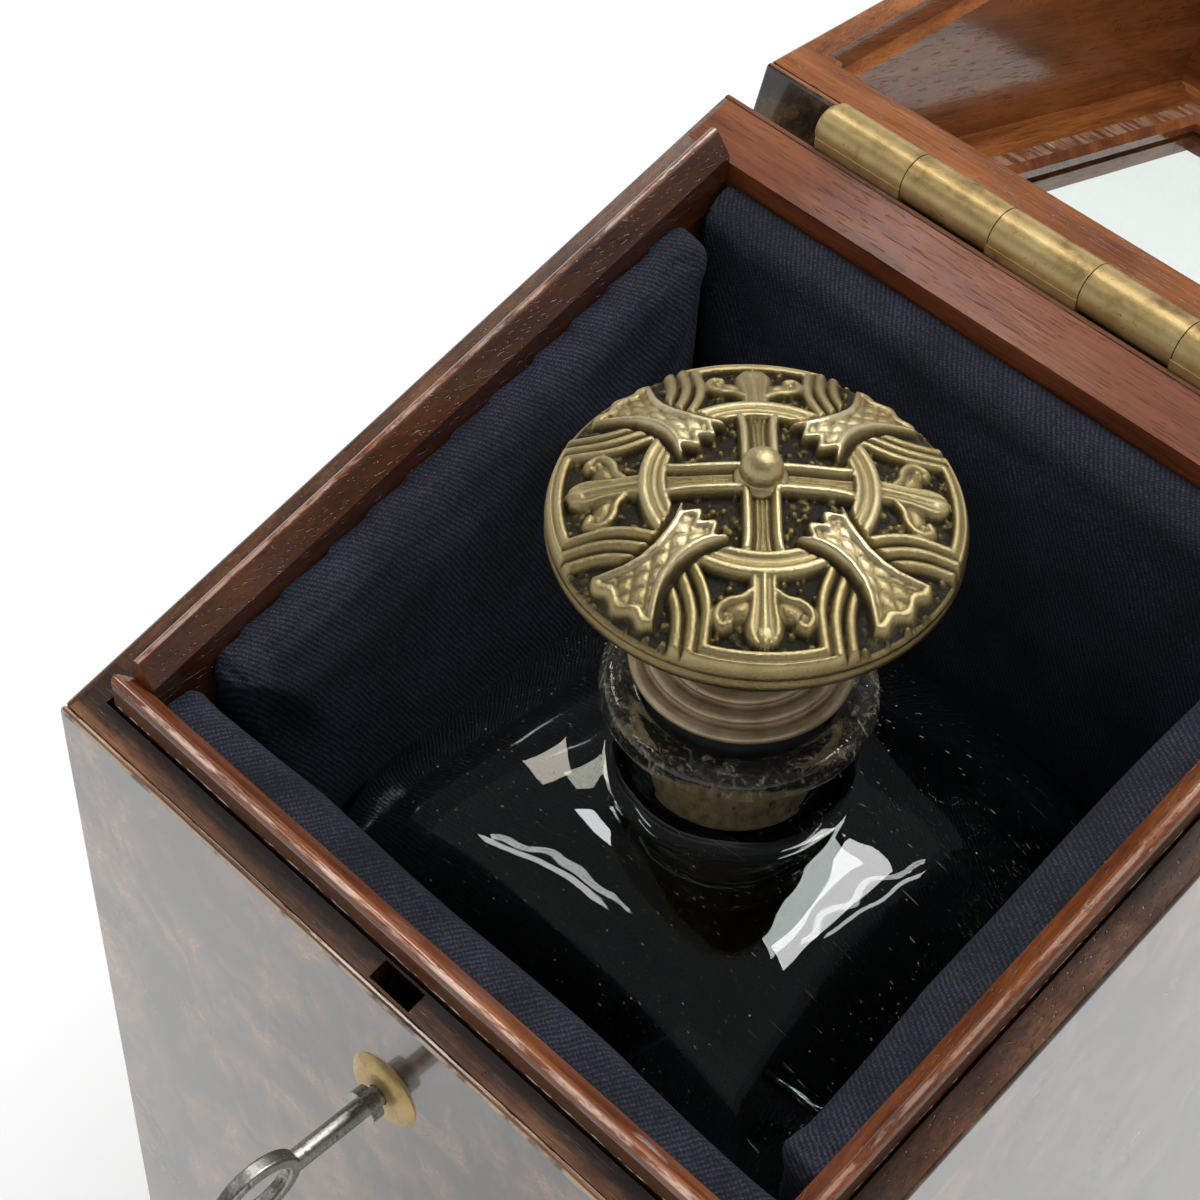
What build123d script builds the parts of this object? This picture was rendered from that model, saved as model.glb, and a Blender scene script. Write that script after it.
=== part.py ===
"""Single-bottle tantalus: a sloping-rim box, a glazed wedge lid and a square decanter.

Millimetres, +Z up, the front of the box towards -Y and the hinge towards +Y.  The origin is the
middle of the underside.  The rim of the box lies in one plane that rises towards the hinge.  Lid
pieces are drawn closed and then thrown right back, past half a turn, until the lid rests on the
back of the box.
"""
from math import acos, atan2, cos, degrees, hypot, pi, radians, sin, sqrt, tan
import os

from build123d import *

os.makedirs("parts", exist_ok=True)

# ---- box -----------------------------------------------------------------------------------------
RIM_SLOPE = 16.3            # degrees, rising towards the hinge
WALL = 10.2                 # wall with its veneer
VENEER = 1.2
BEAD_WIDTH = 4.7
BEAD_RISE = 4.6             # crest of the bead above the rim
BEAD_FALL = 3.3             # crest above the bead's inner arris
BEAD_CROWN = 1.2            # radius of the crest, over the bead's outer side
BEAD_DEPTH = 6.0            # bead let in below the rim
BEAD_GROOVE = 0.4           # open quirk between the bead and the rim
BEAD_END_ROUND = 1.5        # outer corners of the front bead
BAIZE = 1.0
BASE_BOARD = 9.0
BAIZE_INSET = 1.0

# ---- lining --------------------------------------------------------------------------------------
SIDE_PAD = 9.6
FRONT_PAD = 9.6
FLOOR_PAD = 5.0
PAD_DROP = 1.9              # bare wood between the rim and the top of the padding
PAD_GAP = 0.2
PAD_ROUND = 2.0
SIDE_ROOM = 2.95            # between the decanter and the padding, left and right
DEPTH_ROOM = 1.45           # between the decanter and the padding, front and back

# ---- lid -----------------------------------------------------------------------------------------
LID_CROWN = 48.0            # closed top above the middle of the rim plane
LID_WALL = 8.2
LID_FRAME = 9.0             # thickness of the mitred top frame
LID_FRAME_LIP = 3.0         # wood above the pane
LID_RAIL = 21.0             # width of the frame from the outer face of the lid
PANE = 3.0
PANE_LAP = 5.0              # rebate that takes the pane and its beads
PANE_CLEARANCE = 0.2
GLAZING_CHAMFER = 1.4
GLAZING_SHY = 0.4           # glazing beads short of the sight edge
RIM_GAP = 0.3               # between the closed lid and the rim
BEAD_CLEARANCE = 0.35
BEAD_SWING = 1.0            # room behind the beads' back ends, for the swing of the lid
REST_GAP = 0.3              # open lid clear of the back of the box

# ---- hinge ---------------------------------------------------------------------------------------
KNUCKLE_DIAMETER = 8.2
KNUCKLE_LENGTH = 17.5
KNUCKLES = 6
KNUCKLE_GAP = 0.2
HINGE_STANDOFF = 0.3        # barrel clear of the back
PIN_DIAMETER = 3.2
PIN_CLEARANCE = 0.05
PIN_HEAD = 1.1
LEAF_THICKNESS = 1.5
LEAF_HEIGHT = 14.5          # below the hinge axis
LEAF_RELIEF = 0.5           # leaf cut back under the other leaf's knuckles
SCREW_HEAD = 5.0
SCREW_SHANK = 2.4
SCREW_LENGTH = 7.0
SCREW_SET_IN = 0.15
SCREW_FIT = 0.02
SCREW_LAND = 0.2            # straight edge of a countersunk head

# ---- lock ----------------------------------------------------------------------------------------
LOCK_WIDTH = 32.0
LOCK_HEIGHT = 24.0
LOCK_DEPTH = 6.8
LOCK_SHEET = 1.0
LOCK_BELOW_BEAD = 1.0
LOCK_PLATE_EDGE = 5.0       # back plate beyond the case on each side
BOLT_TRAVEL = 5.0
BOLT_THICKNESS = 1.6
BOLT_HEIGHT = 5.0
LOOP_WIDTH = 7.0            # tongue that hangs from the lid
LOOP_THICKNESS = 1.8
LOOP_REACH = 16.2           # hooked tongue below the lid rim
LOOP_LIP = 2.5              # metal under the notch of the tongue
LOOP_NECK = 2.0             # metal beside the notch
LOOP_CLEARANCE = 0.5
LOOP_INSET = 3.4            # middle of the tongue behind the outer face
LOOP_ROUND = 1.4
LINK_EAR = 5.0              # tongue's plate beyond the tongue on each side
LINK_EDGE = 1.0             # and in front and behind
LINK_SEAT_GAP = 0.05
MORTISE_GAP = 0.1
LOCK_SCREW_SCALE = 0.7
BOLT_GAP = 0.4
BOLT_SHY = 0.3              # bolt clear of the case and the tongue
BOLT_CHAMFER = 0.8
TALON_GAP = 1.2
KEY_PIN = 3.2
KEY_CLEARANCE = 0.15
KEY_BOW = 15.0
KEY_REACH = 16.0            # bow in front of the box
KEY_TURNED_BIT = 4.6
KEY_BIT_LENGTH = 2.6
KEY_COLLAR = 1.1            # collar beyond the pin
KEY_COLLAR_LENGTH = 2.0
KEY_WIRE = 2.1              # bow's metal, seen from the side
KEY_WIRE_HALF = 1.2
KEY_BOW_SHAPE = 0.38        # half height of the bow over its length
ESCUTCHEON = 13.0
ESCUTCHEON_RISE = 1.2

# ---- decanter ------------------------------------------------------------------------------------
BODY_SIDE = 97.0
BODY_CORNER = 13.0
BODY_STRAIGHT = 138.0       # square part of the body
SHOULDER = 29.0             # radius of the rounded shoulder
NECK_COVE = 4.0
GLASS = 5.0
GLASS_BASE = 11.0
NECK_OUTER = 31.0
NECK_BORE = 23.6
LIP_DIAMETER = 41.0
LIP_THICKNESS = 5.0
LIP_BELOW_RIM = 7.7         # top of the lip under the middle of the rim plane
NECK_RISE = 20.0            # from the top of the shoulder to the top of the lip
LIP_MOUTH = 29.5
LIP_MOUTH_DEPTH = 3.4
DECANTER_SEAT = 0.3
FOOT_ROUND = 2.5

# ---- stopper -------------------------------------------------------------------------------------
DISC_DIAMETER = 57.6
DISC_ABOVE_RIM = 25.6       # edge of the disc over the middle of the rim plane
DISC_EDGE = 4.2
DISC_DOME = 5.6
DISC_ROUND = 1.2            # rounding of the edge
RELIEF = 1.9
RING_MEAN_RADIUS = 14.6
RING_BAND = 3.8
ARM_WIDTH = 4.9
ARM_CHANNEL = 1.5
BOSS_DIAMETER = 5.9
FRAME_BAND = 0.9            # reeds of the frames round the palmettes
FRAME_SHY = 1.0             # frames short of the disc's edge
RIBBON_SHY = 0.9            # ribbons short of the disc's edge
FRAME_SIDES = (((14.2, 9.6), (17.3, 7.4), (21.0, 6.8), (26.2, 7.2)),      # along, across
               ((15.0, 11.2), (19.0, 9.3), (23.0, 9.0), (27.6, 9.3)))
STOPPER_TURN = 45.0         # degrees; one arm of the cross points at the front right corner
COLLAR_ABOVE_LIP = 3.6
COLLAR_RINGS = 4
COLLAR_RADIUS = 16.5
COLLAR_STEP = 2.25
COLLAR_RING = 1.5
HUB_RADIUS = 8.0
SEAL_DIAMETER = 28.5
SEAL_SEAT = 0.3
CORK_DIAMETER = 23.4
CORK_LENGTH = 18.0
STUD_DIAMETER = 5.0
STUD_FIT = 0.04
STUD_IN_DISC = 2.4

# ---- worked-out places ---------------------------------------------------------------------------
BOX_WIDTH = BODY_SIDE + 2 * (SIDE_ROOM + SIDE_PAD + WALL)
BOX_DEPTH = BODY_SIDE + 2 * (DEPTH_ROOM + FRONT_PAD + WALL)
FLOOR_Z = BAIZE + BASE_BOARD
DECANTER_Z = FLOOR_Z + FLOOR_PAD + DECANTER_SEAT
LIP_Z = DECANTER_Z + BODY_STRAIGHT + SHOULDER + NECK_RISE
RIM_MID_HEIGHT = LIP_Z + LIP_BELOW_RIM      # rim plane over the middle of the box
CLOSED_HEIGHT = RIM_MID_HEIGHT + LID_CROWN
HALF_W, HALF_D = BOX_WIDTH / 2, BOX_DEPTH / 2
INNER_W, INNER_D = BOX_WIDTH - 2 * WALL, BOX_DEPTH - 2 * WALL
CORE = WALL - VENEER
LID_CORE = LID_WALL - VENEER
RISE = tan(radians(RIM_SLOPE))
TALL = 2 * CLOSED_HEIGHT
AXIS_Y = HALF_D + HINGE_STANDOFF + KNUCKLE_DIAMETER / 2
AXIS_Z = RIM_MID_HEIGHT + AXIS_Y * RISE + RIM_GAP / 2
LID_CEILING = CLOSED_HEIGHT - LID_FRAME
HINGE_ARM = HINGE_STANDOFF + KNUCKLE_DIAMETER / 2
LID_BACK = CLOSED_HEIGHT - AXIS_Z
OPEN_ANGLE = 180 + degrees(acos((REST_GAP - HINGE_ARM) / hypot(HINGE_ARM, LID_BACK))
                           - atan2(LID_BACK, HINGE_ARM))
SEAL_Z = LIP_Z + COLLAR_ABOVE_LIP
SEAL_THICKNESS = COLLAR_ABOVE_LIP + LIP_MOUTH_DEPTH - SEAL_SEAT
DISC_EDGE_Z = RIM_MID_HEIGHT + DISC_ABOVE_RIM
DISC_BOTTOM_Z = DISC_EDGE_Z - DISC_EDGE
LOOP_Y = -HALF_D + LOOP_INSET
FRONT_INNER_Y = -HALF_D + WALL
LOCK_TOP_Z = RIM_MID_HEIGHT + (-HALF_D + WALL - BEAD_WIDTH) * RISE - BEAD_DEPTH - LOCK_BELOW_BEAD
LOCK_MID_Z = LOCK_TOP_Z - LOCK_HEIGHT / 2
KEY_Z = LOCK_TOP_Z - 0.68 * LOCK_HEIGHT


def save(name, shape):
    """Write one sub-part."""
    export_step(shape, f"parts/{name}.step")


def block(x, y, z):
    """A box from three (low, high) pairs."""
    size = (x[1] - x[0], y[1] - y[0], z[1] - z[0])
    return Pos(x[0], y[0], z[0]) * Box(*size, align=(Align.MIN, Align.MIN, Align.MIN))


def rim_frame(offset=0.0, y=0.0):
    """A frame on the rim plane: X across, Y up the slope, Z normal to the rim."""
    slope = radians(RIM_SLOPE)
    origin = (0, y - offset * sin(slope), RIM_MID_HEIGHT + y * RISE + offset * cos(slope))
    return Plane(origin=origin, x_dir=(1, 0, 0), z_dir=(0, -sin(slope), cos(slope)))


def above_rim(offset=0.0):
    """Everything above the rim plane."""
    return rim_frame(offset) * Box(TALL, TALL, TALL, align=(Align.CENTER, Align.CENTER, Align.MIN))


def below_rim(offset=0.0):
    """Everything below the rim plane."""
    return rim_frame(offset) * Box(TALL, TALL, TALL, align=(Align.CENTER, Align.CENTER, Align.MAX))


def opened(shape):
    """A lid piece drawn closed, thrown right back about the hinge axis."""
    return shape.rotate(Axis((0, AXIS_Y, AXIS_Z), (1, 0, 0)), -OPEN_ANGLE)


def drilled(shape, holes):
    """The shape less a list of holes."""
    for hole in holes:
        shape = shape - hole
    return shape


# ---- hinge positions shared by the walls, the leaves and the screws ------------------------------
HINGE_LENGTH = KNUCKLES * KNUCKLE_LENGTH
KNUCKLE_X = [-HINGE_LENGTH / 2 + (i + 0.5) * KNUCKLE_LENGTH for i in range(KNUCKLES)]
BOX_KNUCKLES, LID_KNUCKLES = KNUCKLE_X[0::2], KNUCKLE_X[1::2]
SCREW_X = [KNUCKLE_X[0], KNUCKLE_X[2], KNUCKLE_X[3], KNUCKLE_X[5]]
SCREW_DROP = KNUCKLE_DIAMETER / 2 + (LEAF_HEIGHT - KNUCKLE_DIAMETER / 2) / 2


def wood_screw(length, clearance=0.0):
    """A countersunk screw pointing down -Z from a head that is flush with Z = 0."""
    head = SCREW_HEAD / 2 + clearance
    shank = SCREW_SHANK / 2 + clearance
    profile = Polyline((0, 0), (head, 0), (head, -SCREW_LAND),
                       (shank, -SCREW_LAND - (head - shank)),
                       (shank, -length + shank), (0, -length), (0, 0))
    return revolve(Plane.XZ * make_face(profile), Axis.Z)


def hinge_screws(clearance=0.0):
    """The screws of the box leaf, driven towards the front."""
    y = HALF_D + LEAF_THICKNESS - SCREW_SET_IN
    shape = wood_screw(SCREW_LENGTH, clearance).rotate(Axis.X, -90)
    return [Pos(x, y, AXIS_Z - SCREW_DROP) * shape for x in SCREW_X]


def leaf(knuckles, others):
    """A hinge leaf on the back of the box: plate, knuckles and countersunk holes."""
    half = HINGE_LENGTH / 2
    plate = block((-half, half), (HALF_D, HALF_D + LEAF_THICKNESS), (AXIS_Z - LEAF_HEIGHT, AXIS_Z))
    relief = KNUCKLE_DIAMETER / 2 + LEAF_RELIEF
    for x in others:
        width = KNUCKLE_LENGTH / 2
        plate -= block((x - width, x + width), (HALF_D - 1, HALF_D + 2 * LEAF_THICKNESS),
                       (AXIS_Z - relief, AXIS_Z + 1))
    along_x = Rot(0, 90, 0)
    for x in knuckles:
        barrel = Cylinder(KNUCKLE_DIAMETER / 2, KNUCKLE_LENGTH - KNUCKLE_GAP)
        plate += Pos(x, AXIS_Y, AXIS_Z) * along_x * barrel
    bore = Cylinder(PIN_DIAMETER / 2 + PIN_CLEARANCE, 2 * HINGE_LENGTH)
    plate -= Pos(0, AXIS_Y, AXIS_Z) * along_x * bore
    return drilled(plate, hinge_screws(SCREW_FIT))


def hinge_pin():
    """The pin, with a low domed head at each end."""
    length, head = HINGE_LENGTH + 0.2, KNUCKLE_DIAMETER / 2 - 0.8
    pin = Cylinder(PIN_DIAMETER / 2, length + PIN_HEAD)
    for side in (-1, 1):
        cap = Pos(0, 0, side * (length + PIN_HEAD) / 2) * Cylinder(head, PIN_HEAD)
        pin += fillet(cap.edges().group_by(Axis.Z)[-1 if side > 0 else 0], 0.5)
    return Pos(0, AXIS_Y, AXIS_Z) * Rot(0, 90, 0) * pin


# ---- lock ----------------------------------------------------------------------------------------
def loop_space(clearance):
    """The room for the lid's loop, in its slot through the rim."""
    half_w = LOOP_WIDTH / 2 + clearance
    half_t = LOOP_THICKNESS / 2 + clearance
    slot = block((-half_w, half_w), (-half_t - clearance, half_t),
                 (-LOOP_REACH - clearance, BEAD_RISE))
    return rim_frame(0, LOOP_Y) * slot


def lock_mortise():
    """The room for the lock case and its back plate in the front wall."""
    half = LOCK_WIDTH / 2 + MORTISE_GAP
    z = (LOCK_TOP_Z - LOCK_HEIGHT - MORTISE_GAP, LOCK_TOP_Z + MORTISE_GAP)
    case = block((-half, half), (FRONT_INNER_Y - LOCK_DEPTH - MORTISE_GAP, FRONT_INNER_Y), z)
    plate_half = half + LOCK_PLATE_EDGE
    plate = block((-plate_half, plate_half), (FRONT_INNER_Y - LOCK_SHEET, FRONT_INNER_Y), z)
    return case + plate


def lock_screws(clearance=0.0):
    """Two screws through the back plate, driven towards the front."""
    x = LOCK_WIDTH / 2 + LOCK_PLATE_EDGE / 2
    shape = wood_screw(SCREW_LENGTH, clearance).scale(LOCK_SCREW_SCALE).rotate(Axis.X, -90)
    return [Pos(side * x, FRONT_INNER_Y - SCREW_SET_IN, LOCK_MID_Z) * shape for side in (-1, 1)]


def keyway(clearance):
    """A keyhole along Y: a round for the pin over a slit for the bit."""
    round_part = Rot(90, 0, 0) * Cylinder(KEY_PIN / 2 + clearance, 4 * WALL)
    slit = Box(KEY_PIN * 0.5 + 2 * clearance, 4 * WALL, KEY_TURNED_BIT + clearance,
               align=(Align.CENTER, Align.CENTER, Align.MAX))
    return Pos(0, FRONT_INNER_Y, KEY_Z) * (round_part + slit)


def lock_case():
    """The case, open to the back and closed by its own plate, with the eye of the loop let in."""
    half = LOCK_WIDTH / 2
    front_y, bottom = FRONT_INNER_Y - LOCK_DEPTH, LOCK_TOP_Z - LOCK_HEIGHT
    shell = block((-half, half), (front_y, FRONT_INNER_Y), (bottom, LOCK_TOP_Z))
    inside = block((-half + LOCK_SHEET, half - LOCK_SHEET),
                   (front_y + LOCK_SHEET, FRONT_INNER_Y - LOCK_SHEET),
                   (bottom + LOCK_SHEET, LOCK_TOP_Z - LOCK_SHEET))
    ear = half + LOCK_PLATE_EDGE
    shell += block((-ear, ear), (FRONT_INNER_Y - LOCK_SHEET, FRONT_INNER_Y), (bottom, LOCK_TOP_Z))
    shell -= inside
    shell -= loop_space(LOOP_CLEARANCE)
    front_half = block((-half, half), (front_y - 1, FRONT_INNER_Y - LOCK_SHEET), (0, TALL))
    shell -= keyway(KEY_CLEARANCE) & front_half
    return drilled(shell, lock_screws(SCREW_FIT))


LOOP_EYE_DROP = LOOP_REACH - LOOP_LIP - BOLT_GAP - BOLT_HEIGHT / 2
BOLT_Y = LOOP_Y + LOOP_EYE_DROP * sin(radians(RIM_SLOPE))
BOLT_Z = RIM_MID_HEIGHT + LOOP_Y * RISE - LOOP_EYE_DROP * cos(radians(RIM_SLOPE))


def lock_bolt():
    """The sliding bolt, short of the tongue; a talon reaches down beside the key."""
    tip = -LOOP_WIDTH / 2 - LOOP_CLEARANCE - BOLT_SHY
    tail = -LOCK_WIDTH / 2 + LOCK_SHEET + BOLT_SHY
    half_t = BOLT_THICKNESS / 2
    bar = block((tail, tip), (BOLT_Y - half_t, BOLT_Y + half_t),
                (BOLT_Z - BOLT_HEIGHT / 2, BOLT_Z + BOLT_HEIGHT / 2))
    bar = chamfer(bar.edges().filter_by(Axis.Y).group_by(Axis.X)[-1], BOLT_CHAMFER)
    talon_x = -KEY_TURNED_BIT - TALON_GAP - BOLT_TRAVEL
    talon = block((tail, talon_x), (BOLT_Y - half_t, BOLT_Y + half_t),
                  (KEY_Z - KEY_TURNED_BIT / 2, BOLT_Z))
    return bar + talon


def key():
    """The key in its hole: pin, bit, collar and an open bow."""
    radius = KEY_PIN / 2
    front = -HALF_D - ESCUTCHEON_RISE
    back = FRONT_INNER_Y - LOCK_SHEET - BOLT_SHY
    bow_y = front - KEY_REACH
    pin = Pos(0, (back + bow_y) / 2, KEY_Z) * Rot(90, 0, 0) * Cylinder(radius, back - bow_y)
    bit_back = back - BOLT_SHY
    bit = block((-KEY_PIN / 4, KEY_PIN / 4), (bit_back - KEY_BIT_LENGTH, bit_back),
                (KEY_Z - KEY_TURNED_BIT, KEY_Z))
    collar = Rot(90, 0, 0) * Cylinder(radius + KEY_COLLAR, KEY_COLLAR_LENGTH)
    collar = Pos(0, front - 1.1 * KEY_COLLAR_LENGTH, KEY_Z) * collar
    half, high = KEY_BOW / 2, KEY_BOW * KEY_BOW_SHAPE
    outline = Ellipse(half, high) - Ellipse(half - KEY_WIRE, high - KEY_WIRE)
    bow = extrude(Plane.YZ * outline, KEY_WIRE_HALF, both=True)
    bow = fillet(bow.edges(), 0.4 * KEY_WIRE_HALF)
    return pin + bit + collar + Pos(0, bow_y - half + 0.5 * KEY_WIRE, KEY_Z) * bow


def escutcheon():
    """A turned keyhole plate on the front face."""
    half = ESCUTCHEON / 2
    outline = [Line((0, 0), (half, 0)),
               ThreePointArc((half, 0), (half - 0.9, 0.9), (half - 2.4, ESCUTCHEON_RISE)),
               Line((half - 2.4, ESCUTCHEON_RISE), (0, ESCUTCHEON_RISE)),
               Line((0, ESCUTCHEON_RISE), (0, 0))]
    plate = revolve(Plane.XZ * make_face(outline), Axis.Z).rotate(Axis.X, 90)
    return Pos(0, -HALF_D, KEY_Z) * plate - keyway(KEY_CLEARANCE)


def link_plate():
    """The lid's plate and its tongue, notched at one side for the bolt, drawn closed."""
    half = LOOP_WIDTH / 2
    plate_half, plate_d = half + LINK_EAR, LOOP_THICKNESS + 2 * LINK_EDGE
    base = block((-plate_half, plate_half), (-plate_d / 2, plate_d / 2), (0, LOCK_SHEET))
    stem = block((-half, half), (-LOOP_THICKNESS / 2, LOOP_THICKNESS / 2), (-LOOP_REACH, 0))
    stem = fillet(stem.edges().filter_by(Axis.Y).group_by(Axis.Z)[0], LOOP_ROUND)
    notch_top = -LOOP_EYE_DROP + BOLT_HEIGHT / 2 + 3 * BOLT_GAP
    notch = block((-WALL, half - LOOP_NECK), (-WALL, WALL), (-LOOP_REACH + LOOP_LIP, notch_top))
    return rim_frame(RIM_GAP, LOOP_Y) * (base + stem - notch)


def link_seat():
    """The room for the link plate in the lid's rim, drawn closed."""
    half_w = LOOP_WIDTH / 2 + LINK_EAR + LINK_SEAT_GAP
    half_d = LOOP_THICKNESS / 2 + LINK_EDGE + LINK_SEAT_GAP
    seat = block((-half_w, half_w), (-half_d, half_d), (-RIM_GAP, LOCK_SHEET))
    return rim_frame(RIM_GAP, LOOP_Y) * seat


# ---- box woodwork --------------------------------------------------------------------------------
def bead_room():
    """The rebate that takes the bead on the front, left and right."""
    half = INNER_W / 2 + BEAD_WIDTH + BEAD_GROOVE
    front = FRONT_INNER_Y - BEAD_WIDTH - BEAD_GROOVE
    room = block((-half, half), (front, HALF_D - WALL), (0, TALL))
    return room & above_rim(-BEAD_DEPTH)


def front_wall():
    half = HALF_W - VENEER
    wall = block((-half, half), (-HALF_D + VENEER, FRONT_INNER_Y), (BAIZE, TALL)) - above_rim()
    wall = wall - bead_room() - lock_mortise() - loop_space(LOOP_CLEARANCE) - keyway(KEY_CLEARANCE)
    return drilled(wall, lock_screws(SCREW_FIT))


def back_wall():
    half = HALF_W - VENEER
    wall = block((-half, half), (HALF_D - WALL, HALF_D - VENEER), (BAIZE, TALL)) - above_rim()
    return drilled(wall, hinge_screws(SCREW_FIT))


def side_wall(side):
    """The left wall for side -1 and the right wall for side +1."""
    wall = block((INNER_W / 2, INNER_W / 2 + CORE), (FRONT_INNER_Y, HALF_D - WALL), (BAIZE, TALL))
    wall = wall - above_rim() - bead_room()
    return wall if side > 0 else wall.mirror(Plane.YZ)


def veneers():
    """The four skins of the box; front and back cover the edges of the sides."""
    front = block((-HALF_W, HALF_W), (-HALF_D, -HALF_D + VENEER), (BAIZE, TALL)) - above_rim()
    front -= keyway(KEY_CLEARANCE)
    back = block((-HALF_W, HALF_W), (HALF_D - VENEER, HALF_D), (BAIZE, TALL)) - above_rim()
    back = drilled(back, hinge_screws(SCREW_FIT))
    right = block((HALF_W - VENEER, HALF_W), (-HALF_D + VENEER, HALF_D - VENEER), (BAIZE, TALL))
    right -= above_rim()
    return {"front_veneer": front, "back_veneer": back,
            "right_veneer": right, "left_veneer": right.mirror(Plane.YZ)}


def bead_section(straight):
    """Bead profile: X from its inner face outwards, Y up to the middle of its crown.

    The outer side stands upright, the crown is round, and the inner side falls to a low arris.
    """
    middle = (BEAD_WIDTH - BEAD_CROWN, straight)
    arris = (0, straight + BEAD_CROWN - BEAD_FALL)
    away = hypot(middle[0], middle[1] - arris[1])
    lean = atan2(arris[1] - middle[1], -middle[0]) % (2 * pi) - acos(BEAD_CROWN / away)
    leave = (middle[0] + BEAD_CROWN * cos(lean), middle[1] + BEAD_CROWN * sin(lean))
    sides = Polyline(leave, arris, (0, 0), (BEAD_WIDTH, 0), (BEAD_WIDTH, straight))
    crown = ThreePointArc((BEAD_WIDTH, straight), (middle[0], straight + BEAD_CROWN), leave)
    return make_face([sides, crown])


def front_bead():
    """The bead along the front: it runs over the side beads' ends."""
    half = INNER_W / 2 + BEAD_WIDTH
    straight = BEAD_DEPTH + BEAD_WIDTH
    crown_z = (RIM_MID_HEIGHT + (FRONT_INNER_Y - BEAD_WIDTH + BEAD_CROWN) * RISE
               + (BEAD_RISE - BEAD_CROWN) / cos(radians(RIM_SLOPE)))
    across = Plane(origin=(half, FRONT_INNER_Y, crown_z - straight), x_dir=(0, -1, 0),
                   z_dir=(-1, 0, 0))
    bead = extrude(across * bead_section(straight), 2 * half)
    plan = block((-half, half), (FRONT_INNER_Y - BEAD_WIDTH, FRONT_INNER_Y), (0, TALL))
    plan = fillet(plan.edges().filter_by(Axis.Z).sort_by(Axis.Y)[:2], BEAD_END_ROUND)
    return bead & plan - below_rim(-BEAD_DEPTH) - loop_space(LOOP_CLEARANCE)


def side_bead(side):
    """A bead up the slope of a side wall, square to the front bead."""
    along = rim_frame(-BEAD_DEPTH)
    start = Plane(origin=tuple(along.from_local_coords((INNER_W / 2, -BOX_DEPTH, 0))),
                  x_dir=(1, 0, 0), z_dir=along.y_dir)
    section = bead_section(BEAD_DEPTH + BEAD_RISE - BEAD_CROWN).mirror(Plane.XZ)
    bead = extrude(start * section, 2 * BOX_DEPTH)
    room = block((0, HALF_W), (FRONT_INNER_Y, HALF_D - WALL), (0, TALL))
    bead = bead & room
    return bead if side > 0 else bead.mirror(Plane.YZ)


# ---- lining --------------------------------------------------------------------------------------
def pads():
    """Wadded panels of the four sides and the floor."""
    low = FLOOR_Z
    trim = above_rim(-PAD_DROP)
    half_w, half_d = INNER_W / 2, INNER_D / 2
    front = block((-half_w, half_w), (-half_d, -half_d + FRONT_PAD), (low, TALL)) - trim
    back = block((-half_w, half_w), (half_d - FRONT_PAD, half_d), (low, TALL)) - trim
    ends = half_d - FRONT_PAD - PAD_GAP
    right = block((half_w - SIDE_PAD, half_w), (-ends, ends), (low, TALL)) - trim
    side = half_w - SIDE_PAD - PAD_GAP
    floor = block((-side, side), (-ends, ends), (low, low + FLOOR_PAD))
    soft = {"front_pad": front, "back_pad": back, "right_pad": right}
    for name, pad in soft.items():
        soft[name] = fillet(pad.edges().filter_by(GeomType.LINE).group_by(Axis.Z)[-1], PAD_ROUND)
    soft["left_pad"] = soft["right_pad"].mirror(Plane.YZ)
    soft["floor_pad"] = floor
    return soft


# ---- lid, drawn closed ---------------------------------------------------------------------------
def lid_bead_room():
    """The rebate that clears the bead round the front and sides of the closed lid."""
    half = INNER_W / 2 + BEAD_WIDTH + BEAD_CLEARANCE
    front = FRONT_INNER_Y - BEAD_WIDTH - BEAD_CLEARANCE
    room = block((-half, half), (front, HALF_D - WALL + BEAD_SWING), (0, TALL))
    return room & below_rim(BEAD_RISE + BEAD_CLEARANCE)


def lid_walls():
    """Front, back and side boards under the top frame."""
    half_w, half_d = HALF_W - VENEER, HALF_D - VENEER
    clear = below_rim(RIM_GAP) + lid_bead_room()
    z = (0, LID_CEILING)
    front = block((-half_w, half_w), (-half_d, -half_d + LID_CORE), z) - clear - link_seat()
    back = block((-half_w, half_w), (half_d - LID_CORE, half_d), z) - below_rim(RIM_GAP)
    back = drilled(back, closed_lid_screws())
    right = block((half_w - LID_CORE, half_w), (-half_d + LID_CORE, half_d - LID_CORE), z) - clear
    return {"lid_front_wall": front, "lid_back_wall": back,
            "lid_right_wall": right, "lid_left_wall": right.mirror(Plane.YZ)}


def lid_rail_sections():
    """The four mitred rails of the top frame, rebated from below for the pane."""
    rails = {}
    spans = {"lid_front_rail": (HALF_D - VENEER, HALF_W - VENEER, 0),
             "lid_right_rail": (HALF_W - VENEER, HALF_D - VENEER, 90),
             "lid_back_rail": (HALF_D - VENEER, HALF_W - VENEER, 180),
             "lid_left_rail": (HALF_W - VENEER, HALF_D - VENEER, 270)}
    reach, rebate = LID_RAIL - VENEER, LID_RAIL - VENEER - PANE_LAP
    for name, (out, half, turn) in spans.items():
        step = LID_FRAME - LID_FRAME_LIP
        outline = Polyline((-out, 0), (-out + rebate, 0), (-out + rebate, step),
                           (-out + reach, step), (-out + reach, LID_FRAME), (-out, LID_FRAME),
                           close=True)
        start = Plane(origin=(-half, 0, LID_CEILING), x_dir=(0, 1, 0), z_dir=(1, 0, 0))
        rail = extrude(start * make_face(outline), 2 * half)
        mitre = make_face(Polyline((-half, -out), (half, -out), (half - reach, -out + reach),
                                   (-half + reach, -out + reach), close=True))
        rail = rail & extrude(mitre, TALL)
        rails[name] = rail.rotate(Axis.Z, turn)
    return rails


def lid_pane():
    """The pane, in the rebate of the frame."""
    inset = LID_RAIL - PANE_LAP + PANE_CLEARANCE
    half_w, half_d = HALF_W - inset, HALF_D - inset
    top = CLOSED_HEIGHT - LID_FRAME_LIP
    return block((-half_w, half_w), (-half_d, half_d), (top - PANE, top))


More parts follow.
